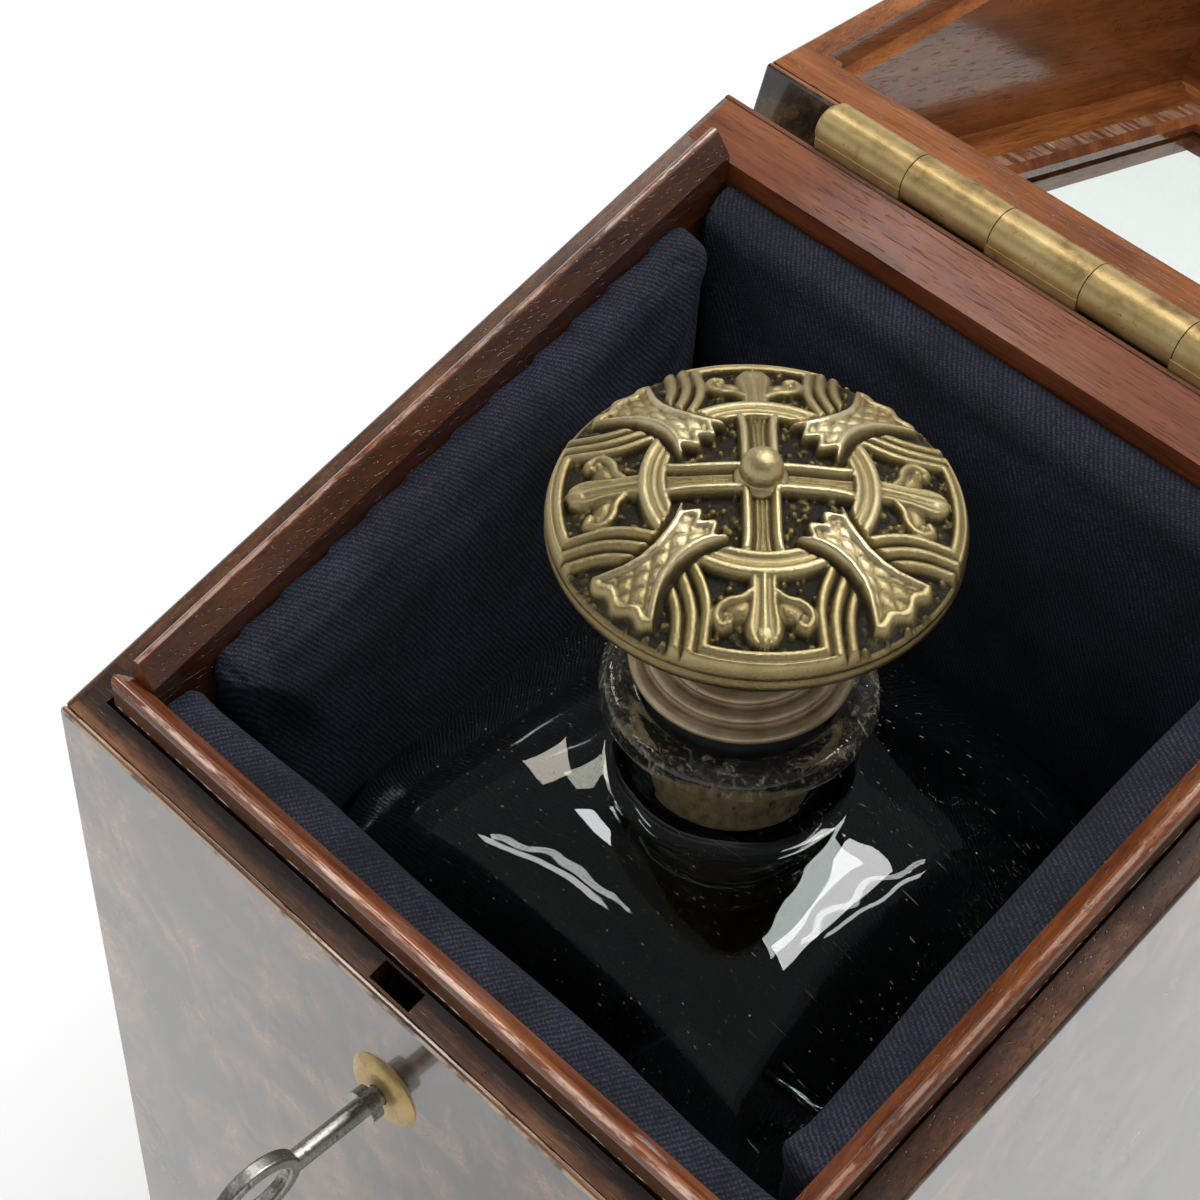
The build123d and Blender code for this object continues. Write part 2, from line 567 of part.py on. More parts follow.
def glazing_beads():
    """Four strips that hold the pane up against the lip of the frame."""
    inset = LID_RAIL - PANE_LAP
    half_w, half_d = HALF_W - inset, HALF_D - inset
    width = PANE_LAP - GLAZING_SHY
    top = CLOSED_HEIGHT - LID_FRAME_LIP - PANE
    z = (LID_CEILING, top)
    front = block((-half_w, half_w), (-half_d, -half_d + width), z)
    right = block((half_w - width, half_w), (-half_d + width, half_d - width), z)
    front_arris = front.edges().filter_by(Axis.X).group_by(Axis.Z)[0].sort_by(Axis.Y)[-1]
    right_arris = right.edges().filter_by(Axis.Y).group_by(Axis.Z)[0].sort_by(Axis.X)[0]
    front = chamfer(front_arris, GLAZING_CHAMFER)
    right = chamfer(right_arris, GLAZING_CHAMFER)
    return Compound([front, front.mirror(Plane.XZ), right, right.mirror(Plane.YZ)])


def lid_veneers():
    """The four skins of the lid, over the walls and the edges of the frame."""
    top = (0, CLOSED_HEIGHT)
    clear = below_rim(RIM_GAP)
    front = block((-HALF_W, HALF_W), (-HALF_D, -HALF_D + VENEER), top) - clear
    back = block((-HALF_W, HALF_W), (HALF_D - VENEER, HALF_D), top) - clear
    back = drilled(back, closed_lid_screws())
    right = block((HALF_W - VENEER, HALF_W), (-HALF_D + VENEER, HALF_D - VENEER), top) - clear
    return {"lid_front_veneer": front, "lid_back_veneer": back,
            "lid_right_veneer": right, "lid_left_veneer": right.mirror(Plane.YZ)}


def closed_lid_screws(clearance=SCREW_FIT):
    """The lid leaf's screws with the lid closed: the box leaf's, mirrored over the axis."""
    over_axis = Plane(origin=(0, AXIS_Y, AXIS_Z), z_dir=(0, 0, 1))
    return [screw.mirror(over_axis) for screw in hinge_screws(clearance)]


# ---- decanter ------------------------------------------------------------------------------------
def bottle_form(side, corner, straight, shoulder, crown_radius):
    """A square column whose rounded shoulder turns from a square to a round in plan."""
    column = extrude(RectangleRounded(side, side, corner), straight)
    sections = [Pos(0, 0, straight) * RectangleRounded(side, side, corner)]
    steps = 5
    for i in range(1, steps):
        angle = radians(90 * i / steps)
        half = side / 2 - (side / 2 - crown_radius) * (1 - cos(angle))
        soft = corner + (crown_radius - corner) * sin(angle) ** 2
        here = RectangleRounded(2 * half, 2 * half, min(soft, 0.995 * half))
        sections.append(Pos(0, 0, straight + shoulder * sin(angle)) * here)
    sections.append(Pos(0, 0, straight + shoulder) * RectangleRounded(
        2 * crown_radius, 2 * crown_radius, 0.995 * crown_radius))
    return column + loft(sections)


def decanter():
    """Blown square decanter: heavy foot, rounded shoulder, short neck and a thick rolled lip."""
    top = LIP_Z - DECANTER_Z
    crown_z = BODY_STRAIGHT + SHOULDER
    neck_r, lip_low = NECK_OUTER / 2, top - LIP_THICKNESS
    outer = bottle_form(BODY_SIDE, BODY_CORNER, BODY_STRAIGHT, SHOULDER, neck_r + NECK_COVE)
    outer = fillet(outer.edges().group_by(Axis.Z)[0], FOOT_ROUND)
    inner = bottle_form(BODY_SIDE - 2 * GLASS, BODY_CORNER - GLASS, BODY_STRAIGHT - GLASS_BASE,
                        SHOULDER - GLASS, NECK_BORE / 2 + 1.0)
    radius, mouth = LIP_DIAMETER / 2, LIP_MOUTH / 2
    low = crown_z - 0.5 * GLASS
    cove = ThreePointArc((neck_r + NECK_COVE, crown_z - 0.1),
                         (neck_r + 0.3 * NECK_COVE, crown_z + 0.3 * NECK_COVE),
                         (neck_r, crown_z + NECK_COVE))
    roll = ThreePointArc((radius - 1.2, lip_low + 0.6), (radius, lip_low + 0.5 * LIP_THICKNESS),
                         (radius - 1.3, top))
    outline = [Line((0, low), (neck_r + NECK_COVE, low)),
               Line((neck_r + NECK_COVE, low), (neck_r + NECK_COVE, crown_z - 0.1)), cove,
               Line((neck_r, crown_z + NECK_COVE), (neck_r, lip_low - 1.2)),
               Line((neck_r, lip_low - 1.2), (radius - 1.2, lip_low + 0.6)), roll,
               Line((radius - 1.3, top), (0, top)), Line((0, top), (0, low))]
    neck = revolve(Plane.XZ * make_face(outline), Axis.Z)
    upright = (Align.CENTER, Align.CENTER, Align.MIN)
    bore = Pos(0, 0, crown_z - 2 * GLASS) * Cylinder(NECK_BORE / 2, TALL, align=upright)
    mouth_cut = Pos(0, 0, top - LIP_MOUTH_DEPTH) * Cylinder(mouth, TALL, align=upright)
    glass = outer + neck - Pos(0, 0, GLASS_BASE) * inner - bore - mouth_cut
    return Pos(0, 0, DECANTER_Z) * glass


# ---- stopper -------------------------------------------------------------------------------------
def dome_height(radius):
    """Height of the plain dome over the disc's underside, on a sphere through crown and edge."""
    edge = DISC_DIAMETER / 2 - DISC_ROUND
    sphere = (edge ** 2 + DISC_DOME ** 2) / (2 * DISC_DOME)
    return DISC_EDGE + DISC_DOME - sphere + sqrt(sphere ** 2 - radius ** 2)


def dome_profile(lift):
    """Half section of the disc's domed face, raised by lift, from the axis to the edge."""
    outer = DISC_DIAMETER / 2
    edge = outer - DISC_ROUND
    crown = ThreePointArc((0, dome_height(0) + lift), (edge / 2, dome_height(edge / 2) + lift),
                          (edge, dome_height(edge) + lift))
    rim = ThreePointArc((edge, DISC_EDGE + lift), (outer, 0.5 * DISC_EDGE), (edge - 0.4, 0))
    return make_face([crown, rim, Line((edge - 0.4, 0), (0, 0)),
                      Line((0, 0), (0, dome_height(0) + lift))])


def cross_plan():
    """Plan of the channelled cross: two ridges to each arm, meeting at the middle."""
    length = 2 * RING_MEAN_RADIUS
    ridge = (ARM_WIDTH - ARM_CHANNEL) / 2
    offset = (ARM_WIDTH - ridge) / 2
    plan = Circle(BOSS_DIAMETER / 2 + 0.6)
    for side in (-1, 1):
        plan += Pos(0, side * offset) * Rectangle(length, ridge)
        plan += Pos(side * offset, 0) * Rectangle(ridge, length)
    return plan


def leaf_plan():
    """Plan of one palmette: a stem, curling side leaves and a rounded tip."""
    root, tip = RING_MEAN_RADIUS + RING_BAND / 2 + 0.3, DISC_DIAMETER / 2 - 3.2
    middle = (root + tip) / 2
    plan = Pos(middle, 0) * SlotOverall(tip - root, 3.0)
    for side in (-1, 1):
        plan += Pos(middle + 1.2, side * 3.0) * Rot(0, 0, side * 34) * SlotOverall(7.0, 2.3)
        plan += Pos(root + 1.7, side * 3.4) * Rot(0, 0, side * 66) * SlotOverall(5.6, 2.0)
    return plan


def ribbon_plan():
    """Plan of one diagonal ribbon: lily-shaped inside the ring, flared towards the edge."""
    ring = RING_MEAN_RADIUS
    edge = [(ring - 4.0, 4.4), (ring - 1.2, 3.1), (ring + 3.9, 2.2), (ring + 8.0, 3.6),
            (DISC_DIAMETER / 2, 7.0)]
    low = [(x, -y) for x, y in edge]
    lobe = ThreePointArc(edge[0], (ring - 5.6, 2.4), (ring - 4.4, 0))
    other = ThreePointArc((ring - 4.4, 0), (ring - 5.6, -2.4), low[0])
    return make_face([Spline(*edge), Line(edge[-1], low[-1]), Spline(*low), lobe, other])


def reed_plan(line, side):
    """Plan of one reed along points of (along, across) on the given side of the palmette."""
    low = [(along, side * (across - FRAME_BAND / 2)) for along, across in line]
    high = [(along, side * (across + FRAME_BAND / 2)) for along, across in line]
    return make_face([Spline(*low), Line(low[-1], high[-1]), Spline(*high), Line(high[0], low[0])])


def field_frame_plan():
    """Plan of one reeded frame: nested bands that draw in from the edge and spread at the ring."""
    outer = DISC_DIAMETER / 2 - FRAME_SHY
    reach = 0.27 * outer
    plan = Circle(outer) - Circle(outer - FRAME_BAND)
    plan &= make_face(Polyline((0, 0), (outer + 1, -reach), (outer + 1, reach), close=True))
    for line in FRAME_SIDES:
        plan += reed_plan(line, -1)
        plan += reed_plan(line, 1)
    return plan


def stopper_medallion():
    """The cast disc: ring, cross, four ribbons, four palmettes and reeded edge frames."""
    axis = Axis.Z
    disc = revolve(Plane.XZ * dome_profile(0.0), axis)
    raised = revolve(Plane.XZ * dome_profile(RELIEF), axis)
    ring = Circle(RING_MEAN_RADIUS + RING_BAND / 2) - Circle(RING_MEAN_RADIUS + 0.45)
    ring += Circle(RING_MEAN_RADIUS - 0.45) - Circle(RING_MEAN_RADIUS - RING_BAND / 2)
    plan = ring + cross_plan()
    for turn in range(0, 360, 90):
        plan += Rot(0, 0, turn) * leaf_plan()
        plan += Rot(0, 0, turn) * field_frame_plan()
        plan += Rot(0, 0, turn + 45) * ribbon_plan()
    plan &= Circle(DISC_DIAMETER / 2 - RIBBON_SHY)
    band = Pos(0, 0, 1.5) * extrude(plan, DISC_EDGE + DISC_DOME + RELIEF)
    cast = disc + (band & raised)
    cast -= Cylinder(STUD_DIAMETER / 2 + STUD_FIT, 2 * STUD_IN_DISC)
    return Pos(0, 0, DISC_BOTTOM_Z) * Rot(0, 0, STOPPER_TURN) * cast


def stopper_boss():
    """The ball at the middle, on a short neck."""
    seat = DISC_BOTTOM_Z + DISC_EDGE + DISC_DOME + RELIEF
    radius = BOSS_DIAMETER / 2
    ball = Pos(0, 0, seat + 0.75 * radius) * Sphere(radius)
    return ball & block((-9, 9), (-9, 9), (seat, TALL))


def stopper_collar():
    """The turned collar: a waisted hub on rings that step out towards the bottle."""
    height = DISC_BOTTOM_Z - SEAL_Z
    edges = []
    here, z = (0, 0), 0.0
    for i in range(COLLAR_RINGS):
        radius = COLLAR_RADIUS - i * COLLAR_STEP
        foot, z = (radius - 0.5, z), z + COLLAR_RING
        edges.append(Line(here, foot))
        here = (radius - 0.5, z)
        edges.append(ThreePointArc(foot, (radius, z - COLLAR_RING / 2), here))
    shelf, flare = (HUB_RADIUS, z), (HUB_RADIUS + 2.5, height)
    edges.append(Line(here, shelf))
    edges.append(ThreePointArc(shelf, (HUB_RADIUS - 0.6, z + 0.5 * (height - z)), flare))
    edges.append(Line(flare, (0, height)))
    edges.append(Line((0, height), (0, 0)))
    collar = revolve(Plane.XZ * make_face(edges), Axis.Z)
    collar -= Cylinder(STUD_DIAMETER / 2 + STUD_FIT, 3 * height)
    return Pos(0, 0, SEAL_Z) * collar


def stopper_seal():
    """The dark washer between the collar and the mouth of the neck."""
    seal = Pos(0, 0, SEAL_Z - SEAL_THICKNESS / 2) * Cylinder(SEAL_DIAMETER / 2, SEAL_THICKNESS)
    seal = fillet(seal.edges(), 0.5)
    return seal - Pos(0, 0, SEAL_Z) * Cylinder(STUD_DIAMETER / 2 + STUD_FIT, 3 * SEAL_THICKNESS)


def stopper_cork():
    """The cork below the washer, with a slight taper at its foot."""
    top = SEAL_Z - SEAL_THICKNESS
    cork = Pos(0, 0, top - CORK_LENGTH / 2) * Cylinder(CORK_DIAMETER / 2, CORK_LENGTH)
    cork = chamfer(cork.edges().group_by(Axis.Z)[0], 0.8)
    return cork - Pos(0, 0, top) * Cylinder(STUD_DIAMETER / 2 + STUD_FIT, CORK_LENGTH)


def stopper_stud():
    """The stud that draws disc, collar, washer and cork together."""
    low = SEAL_Z - SEAL_THICKNESS - CORK_LENGTH / 2
    high = DISC_BOTTOM_Z + STUD_IN_DISC
    return Pos(0, 0, (low + high) / 2) * Cylinder(STUD_DIAMETER / 2, high - low)


def main():
    save("base_baize", block((-HALF_W + BAIZE_INSET, HALF_W - BAIZE_INSET),
                             (-HALF_D + BAIZE_INSET, HALF_D - BAIZE_INSET), (0, BAIZE)))
    save("base_board", block((-INNER_W / 2, INNER_W / 2), (-INNER_D / 2, INNER_D / 2),
                             (BAIZE, FLOOR_Z)))
    save("front_wall", front_wall())
    save("back_wall", back_wall())
    save("left_wall", side_wall(-1))
    save("right_wall", side_wall(1))
    save("front_bead", front_bead())
    save("left_bead", side_bead(-1))
    save("right_bead", side_bead(1))
    for name, skin in veneers().items():
        save(name, skin)
    for name, pad in pads().items():
        save(name, pad)
    save("box_hinge_leaf", leaf(BOX_KNUCKLES, LID_KNUCKLES))
    save("box_hinge_screws", Compound(hinge_screws()))
    save("hinge_pin", hinge_pin())
    over_axis = Plane(origin=(0, AXIS_Y, AXIS_Z), z_dir=(0, 0, 1))
    save("lid_hinge_leaf", opened(leaf(LID_KNUCKLES, BOX_KNUCKLES).mirror(over_axis)))
    save("lid_hinge_screws", opened(Compound(closed_lid_screws(0.0))))
    save("lock_case", lock_case())
    save("lock_bolt", lock_bolt())
    save("lock_screws", Compound(lock_screws()))
    save("escutcheon", escutcheon())
    save("key", key())
    save("link_plate", opened(link_plate()))
    for group in (lid_walls(), lid_rail_sections(), lid_veneers()):
        for name, piece in group.items():
            save(name, opened(piece))
    save("lid_pane", opened(lid_pane()))
    save("glazing_beads", opened(glazing_beads()))
    save("decanter", decanter())
    save("stopper_medallion", stopper_medallion())
    save("stopper_boss", stopper_boss())
    save("stopper_collar", stopper_collar())
    save("stopper_seal", stopper_seal())
    save("stopper_cork", stopper_cork())
    save("stopper_stud", stopper_stud())


main()
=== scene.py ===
"""Looks of a single-bottle tantalus: a polished box with a burr veneer, a navy twill lining,
a square decanter and a cast medallion stopper."""
import math

import bmesh
import bpy
import numpy as np
from mathutils import Matrix, Vector


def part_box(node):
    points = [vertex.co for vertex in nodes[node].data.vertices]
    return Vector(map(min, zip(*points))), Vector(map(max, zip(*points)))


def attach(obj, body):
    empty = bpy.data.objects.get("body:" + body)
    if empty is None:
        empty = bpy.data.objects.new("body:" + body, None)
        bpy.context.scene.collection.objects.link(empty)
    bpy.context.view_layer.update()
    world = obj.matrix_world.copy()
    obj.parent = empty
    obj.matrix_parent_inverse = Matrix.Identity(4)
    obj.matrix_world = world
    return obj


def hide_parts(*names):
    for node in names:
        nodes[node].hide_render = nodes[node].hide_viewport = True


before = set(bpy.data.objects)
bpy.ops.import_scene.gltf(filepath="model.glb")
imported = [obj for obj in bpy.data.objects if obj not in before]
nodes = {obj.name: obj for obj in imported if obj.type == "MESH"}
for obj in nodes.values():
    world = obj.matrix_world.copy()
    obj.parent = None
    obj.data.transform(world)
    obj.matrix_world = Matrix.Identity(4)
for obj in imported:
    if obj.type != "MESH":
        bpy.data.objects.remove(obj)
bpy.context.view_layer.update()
MM = 0.001

# ---- sizes shared with the joinery, in millimetres -------
RIM_SLOPE = math.radians(16.3)
RIM_MID = 210.0
HALF_WIDTH, HALF_DEPTH = 71.25, 69.75
PAD_DROP = 1.9
LID_ANGLE = math.radians(198.4338)
AXIS_Y, AXIS_Z = 74.15, 231.833
BOTTLE_FOOT = 15.3
COLLAR_FOOT, DISC_BOTTOM = 205.9, 231.4
DISC_RADIUS, DISC_EDGE, DISC_DOME = 28.8, 4.2, 5.6
DISC_ROUND = 1.2


# ---- finishes --------------------------------------------
def shade(colour):
    """A colour from its 0 to 255 paint-chart values. One of four values is taken as it is."""
    def linear(c):
        c /= 255.0
        return c / 12.92 if c <= 0.04045 else ((c + 0.055) / 1.055) ** 2.4
    return colour if len(colour) == 4 else (*map(linear, colour), 1.0)


class Layer:
    """One value or colour of a finish, which can be added, scaled, compared and mixed."""

    def __init__(self, owner, socket):
        self.owner, self.socket = owner, socket

    def _math(self, operation, *parts):
        return self.owner.node("Math", {"operation": operation}, dict(enumerate(parts)))

    def __add__(self, other):
        return self._math("ADD", self, other)

    def __sub__(self, other):
        return self._math("SUBTRACT", self, other)

    def __rsub__(self, other):
        return self._math("SUBTRACT", other, self)

    def __mul__(self, other):
        return self._math("MULTIPLY", self, other)

    __radd__ = __add__
    __rmul__ = __mul__

    def sine(self):
        return self._math("SINE", self)

    def size(self):
        return self._math("ABSOLUTE", self)

    def most(self, other):
        return self._math("MAXIMUM", self, other)

    def least(self, other):
        return self._math("MINIMUM", self, other)

    def between(self, low, high):
        """0 at low, 1 at high, eased between them."""
        return self.owner.node("MapRange", {"interpolation_type": "SMOOTHSTEP"},
                               {"Value": self, "From Min": low, "From Max": high})


class Layers:
    """What a finish or the room is built up from."""

    def __init__(self, holder):
        holder.use_nodes = True
        self.tree = holder.node_tree

    def join(self, socket, value):
        """Sets a socket to a value, or links it to a layer."""
        if isinstance(value, Layer):
            self.tree.links.new(value.socket, socket)
        else:
            socket.default_value = shade(value) if socket.type == "RGBA" else value

    def node(self, kind, settings=None, sockets=None, out=0):
        """Any node: its settings first, then its sockets' values or links."""
        made = self.tree.nodes.new("ShaderNode" + kind)
        for key, value in (settings or {}).items():
            setattr(made, key, value)
        for key, value in (sockets or {}).items():
            self.join(made.inputs[key], value)
        return Layer(self, made.outputs[out])

    def ramp(self, value, *stops):
        """Colours that follow a value. Each stop is its place and its colour."""
        layer = self.node("ValToRGB", {}, {0: value})
        marks = layer.socket.node.color_ramp.elements
        for mark, (place, colour) in ((marks[0], stops[0]), (marks[1], stops[-1])):
            mark.position, mark.color = place, shade(colour)
        for place, colour in stops[1:-1]:
            marks.new(place).color = shade(colour)
        return layer

    def ray(self, kind):
        """1 for rays of one kind, 0 for all others."""
        return self.node("LightPath", out=f"Is {kind} Ray")


class Finish(Layers):
    """A named surface finish, built up in layers."""

    def __init__(self, name, **fixed):
        self.material = bpy.data.materials.new(name)
        super().__init__(self.material)
        self.shader = self.tree.nodes["Principled BSDF"]
        self.fill(fixed)

    def fill(self, named):
        """Joins values or layers to the shader's sockets, whose names have _ for each space."""
        for socket, value in named.items():
            self.join(self.shader.inputs[socket.replace("_", " ")], value)

    def place(self, turn=(0, 0, 0), stretch=(1, 1, 1), move=(0, 0, 0)):
        """Places on the piece, turned so that the first axis follows the grain, and stretched."""
        where = self.node("TexCoord", out="Object")
        return self.node("Mapping", {"vector_type": "TEXTURE"},
                         {"Vector": where, "Location": move, "Rotation": turn, "Scale": stretch})

    def share_of(self, vector, direction):
        """How far a vector goes along a direction."""
        return self.node("VectorMath", {"operation": "DOT_PRODUCT"}, {0: vector, 1: direction},
                         out="Value")

    def facing(self, direction):
        """How far the surface faces a direction of the piece's own frame."""
        return self.share_of(self.node("TexCoord", out="Normal"), direction)

    def along(self, direction):
        """Distance in metres along a direction of the piece's own frame."""
        return self.share_of(self.node("TexCoord", out="Object"), direction)

    def clouds(self, place, size, detail=2.0, rough=0.5, warp=0.0):
        """Soft blotches, size millimetres across."""
        return self.node("TexNoise", {}, {"Vector": place, "Scale": 1.0 / (size * MM), "Detail": detail,
                                          "Roughness": rough, "Distortion": warp})

    def cells(self, place, size):
        """Distance from the nearest of scattered dots, size millimetres apart."""
        return self.node("TexVoronoi", {}, {"Vector": place, "Scale": 1.0 / (size * MM)})

    def mix(self, amount, first, second):
        """The first colour, turning into the second as the amount goes from 0 to 1."""
        return self.node("Mix", {"data_type": "RGBA"}, {0: amount, 6: first, 7: second}, out=2)

    def attribute(self, name):
        return self.node("Attribute", {"attribute_name": name}, out="Fac")

    def surface(self, colour, roughness=None, height=None, depth=0.1, **linked):
        """Lays the layers on: colour, roughness, a relief depth mm deep, and others by name."""
        if roughness is not None:
            linked["Roughness"] = roughness
        if height is not None:
            relief = self.node("Bump", {}, {"Height": height, "Distance": depth * MM, "Strength": 1.0})
            linked["Normal"] = linked["Coat_Normal"] = relief
        self.fill({"Base_Color": colour, **linked})
        return self.material


ALONG_X = (0.0, 0.0, 0.0)
ALONG_Y = (0.0, 0.0, math.pi / 2)
THROWN_BACK = Matrix.Rotation(-LID_ANGLE, 3, "X")
LID_ALONG_X = tuple(THROWN_BACK.to_euler("XYZ"))
LID_ALONG_Y = tuple((THROWN_BACK @ Matrix.Rotation(math.pi / 2, 3, "Z")).to_euler("XYZ"))
RIM_NORMAL = Vector((0, -math.sin(RIM_SLOPE), math.cos(RIM_SLOPE)))
LID_RIM_NORMAL = THROWN_BACK @ -RIM_NORMAL


def wood_tones(finish, turn, dark, middle, light, move=(0, 0, 0), pore_depth=0.6):
    """Straight-grained mahogany: ribbons, fine streaks and short pores. Gives colour, pores."""
    wide = finish.place(turn, (9, 1, 1), move)
    fine = finish.place(turn, (26, 1, 1), move)
    ribbons = finish.clouds(wide, 4.0, 3, 0.55, 0.6)
    lip_glint_streaks = finish.clouds(fine, 0.45, 3, 0.7)
    patches = finish.clouds(finish.place(turn, (2.5, 1, 1), move), 13, 3)
    tone = ribbons * 0.5 + lip_glint_streaks * 0.38 + patches * 0.42
    colour = finish.ramp(tone, (0.46, dark), (0.64, middle), (0.84, light))
    pores = finish.clouds(finish.place(turn, (14, 1, 1), move), 0.30, 1, 0.4).between(0.64, 0.71)
    return finish.mix(pores * pore_depth, colour, (30, 15, 8)), pores


def rubbed_polish(finish, turn, roughness, polish, pores):
    """The polish over plain mahogany: its roughness, its weight and its small relief."""
    rubbed_sheen = finish.clouds(finish.place(), 7, 4, 0.6)
    scratches = finish.clouds(finish.place(turn, (30, 1, 1)), 0.5, 2)
    return (rubbed_sheen * 0.3 + (roughness - 0.1), rubbed_sheen.between(0.3, 0.6) * (0.4 * polish) + 0.6 * polish,
            0.3 * scratches - pores)


def mahogany(name, turn, tones, roughness=0.26, polish=0.9, move=(0, 0, 0), grime_and_shade=None,
             pore_depth=0.6, shine=0.5):
    """Polished mahogany. The darkening given as (direction, clean at, dark at, amount) is painted shade
    beside a bead, with its places in metres from the middle of the box."""
    finish = Finish(name, Coat_Roughness=0.09, Coat_IOR=1.5, Specular_IOR_Level=shine)
    colour, pores = wood_tones(finish, turn, *tones, move=move, pore_depth=pore_depth)
    if grime_and_shade:
        direction, clean, dark, amount = grime_and_shade
        # painted shade: the wall darkens towards the bead, with a ragged edge, as the shade in the
        # groove
        ragged_shade = finish.clouds(finish.place(turn, (4, 1, 1)), 1.1, 4, 0.75)
        inwards = finish.along(direction).size() + (ragged_shade - 0.5) * 0.006
        colour = finish.mix(inwards.between(clean, dark) * amount, colour, (20, 12, 8))
    rough, coat, relief = rubbed_polish(finish, turn, roughness, polish, pores)
    return finish.surface(colour, rough, relief, 0.05, Coat_Weight=coat)


def burr_veneer(name, rim_normal, rim_turn, tones, move=(0, 0, 0), rim_move=(0, 0, 0),
                arris_tone=(44, 26, 16), roughness=0.26, polish=0.9, pore_depth=0.6):
    """Burr veneer under a thick French polish, with plain mahogany on the rim and a worn arris, which
    on the front is painted pale as a highlight too.
    """
    finish = Finish(name, Coat_Roughness=0.07, Coat_IOR=1.5)
    flat = finish.place(move=move)
    swirl = finish.clouds(flat, 30, 5, 0.62, 1.6)
    curl = finish.clouds(finish.place(stretch=(1, 1, 1.5), move=move), 11, 5, 0.7, 2.6)
    fleck = finish.clouds(flat, 1.6, 3, 0.6, 1.0)
    eyes = finish.cells(finish.place(stretch=(1, 1, 1.2), move=move), 9).between(0.16, 0.03)
    tone = swirl * 0.62 + curl * 0.42 + (fleck - 0.5) * 0.18
    burr = finish.ramp(tone, (0.38, (30, 24, 18)), (0.49, (60, 48, 35)),
                       (0.57, (114, 82, 55)), (0.69, (178, 134, 92)))
    burr = finish.mix(eyes * 0.7, burr, (24, 17, 13))
    rim, pores = wood_tones(finish, rim_turn, *tones, move=rim_move, pore_depth=pore_depth)
    rough, coat, relief = rubbed_polish(finish, rim_turn, roughness, polish, pores)
    facing = finish.facing(rim_normal)
    on_rim = facing.between(0.90, 0.97)
    arris = facing.between(0.30, 0.55) * (1 - on_rim)
    chips = finish.clouds(finish.place(stretch=(3, 3, 3)), 1.6, 3)
    worn = arris * chips.between(0.34, 0.52)
    colour = finish.mix(on_rim, burr, rim)
    # worn arris: chips of wear, painted pale on the front as a highlight along the edge
    colour = finish.mix(worn * 0.85, colour, arris_tone)
    haze = finish.clouds(flat, 24, 3)
    face_rough = 0.2 + haze * 0.12
    return finish.surface(colour, face_rough + (rough - face_rough) * on_rim,
                          on_rim * relief + curl * 0.05, 0.05,
                          Coat_Weight=(1 - on_rim) + on_rim * coat)


def bead_polish(name, turn, across, crest, move=(0, 0, 0), inner_shade=0.0, foot=0.0, crest_highlight=0.45):
    """A worn bead: a crest with a painted highlight, a flame-coloured slope and dark pores. across
    points over the bead, towards its outer side; foot sets the white dashes on its outer foot, old
    polish and painted glints."""
    finish = Finish(name, Coat_Roughness=0.07, Coat_IOR=1.5)
    colour, pores = wood_tones(finish, turn, (66, 30, 15), (126, 66, 33), (176, 104, 54),
                               move=move)
    bruises = finish.clouds(finish.place(turn, (5, 1, 1)), 2.2, 4, 0.65)
    outer = finish.facing(across)
    top = finish.facing(crest)
    # painted highlight along the crest, broken up like wear
    rubbed_sheen = top.between(0.92, 0.99) * bruises.between(0.42, 0.58)
    chipped = top.between(0.55, 0.9) * finish.clouds(finish.place(turn, (3, 1, 1), (0.01, 0, 0)),
                                                     1.5, 3, 0.7).between(0.67, 0.71)
    # painted reflection: the bead's outer side is greyed as the grey sheen that it mirrors
    colour = finish.mix(outer.between(0.5, 0.95) * 0.5, colour, (92, 66, 50))
    # painted shade on the bead's inner slope
    colour = finish.mix((0 - outer).between(0.1, 0.45) * inner_shade, colour, (44, 24, 15))
    # painted highlight: the crest is coloured pale
    colour = finish.mix(rubbed_sheen * crest_highlight, colour, (238, 206, 182))
    if foot:
        above = finish.along(RIM_NORMAL) - RIM_MID * MM * math.cos(RIM_SLOPE)
        dashes = finish.clouds(finish.place(turn, (3, 1, 1)), 0.5, 2).between(0.5, 0.56)
        on_side = outer.between(0.6, 0.9)
        # painted shade: a black line in the groove along the bead's outer foot
        colour = finish.mix(on_side * above.between(0.55 * MM, 0.4 * MM) * 0.9, colour, (14, 9, 7))
        # white dashes above it: old polish left in the groove, and painted glints in one
        line = on_side * above.between(0.95 * MM, 0.8 * MM) * above.between(0.42 * MM, 0.5 * MM)
        colour = finish.mix(line * dashes * foot, colour, (250, 244, 230))
    colour = finish.mix(chipped * 0.4, colour, (226, 208, 184))
    return finish.surface(colour, 0.2 + bruises * 0.2 + chipped * 0.4, 0.6 * bruises - pores - chipped,
                          0.08, Coat_Weight=1 - chipped)


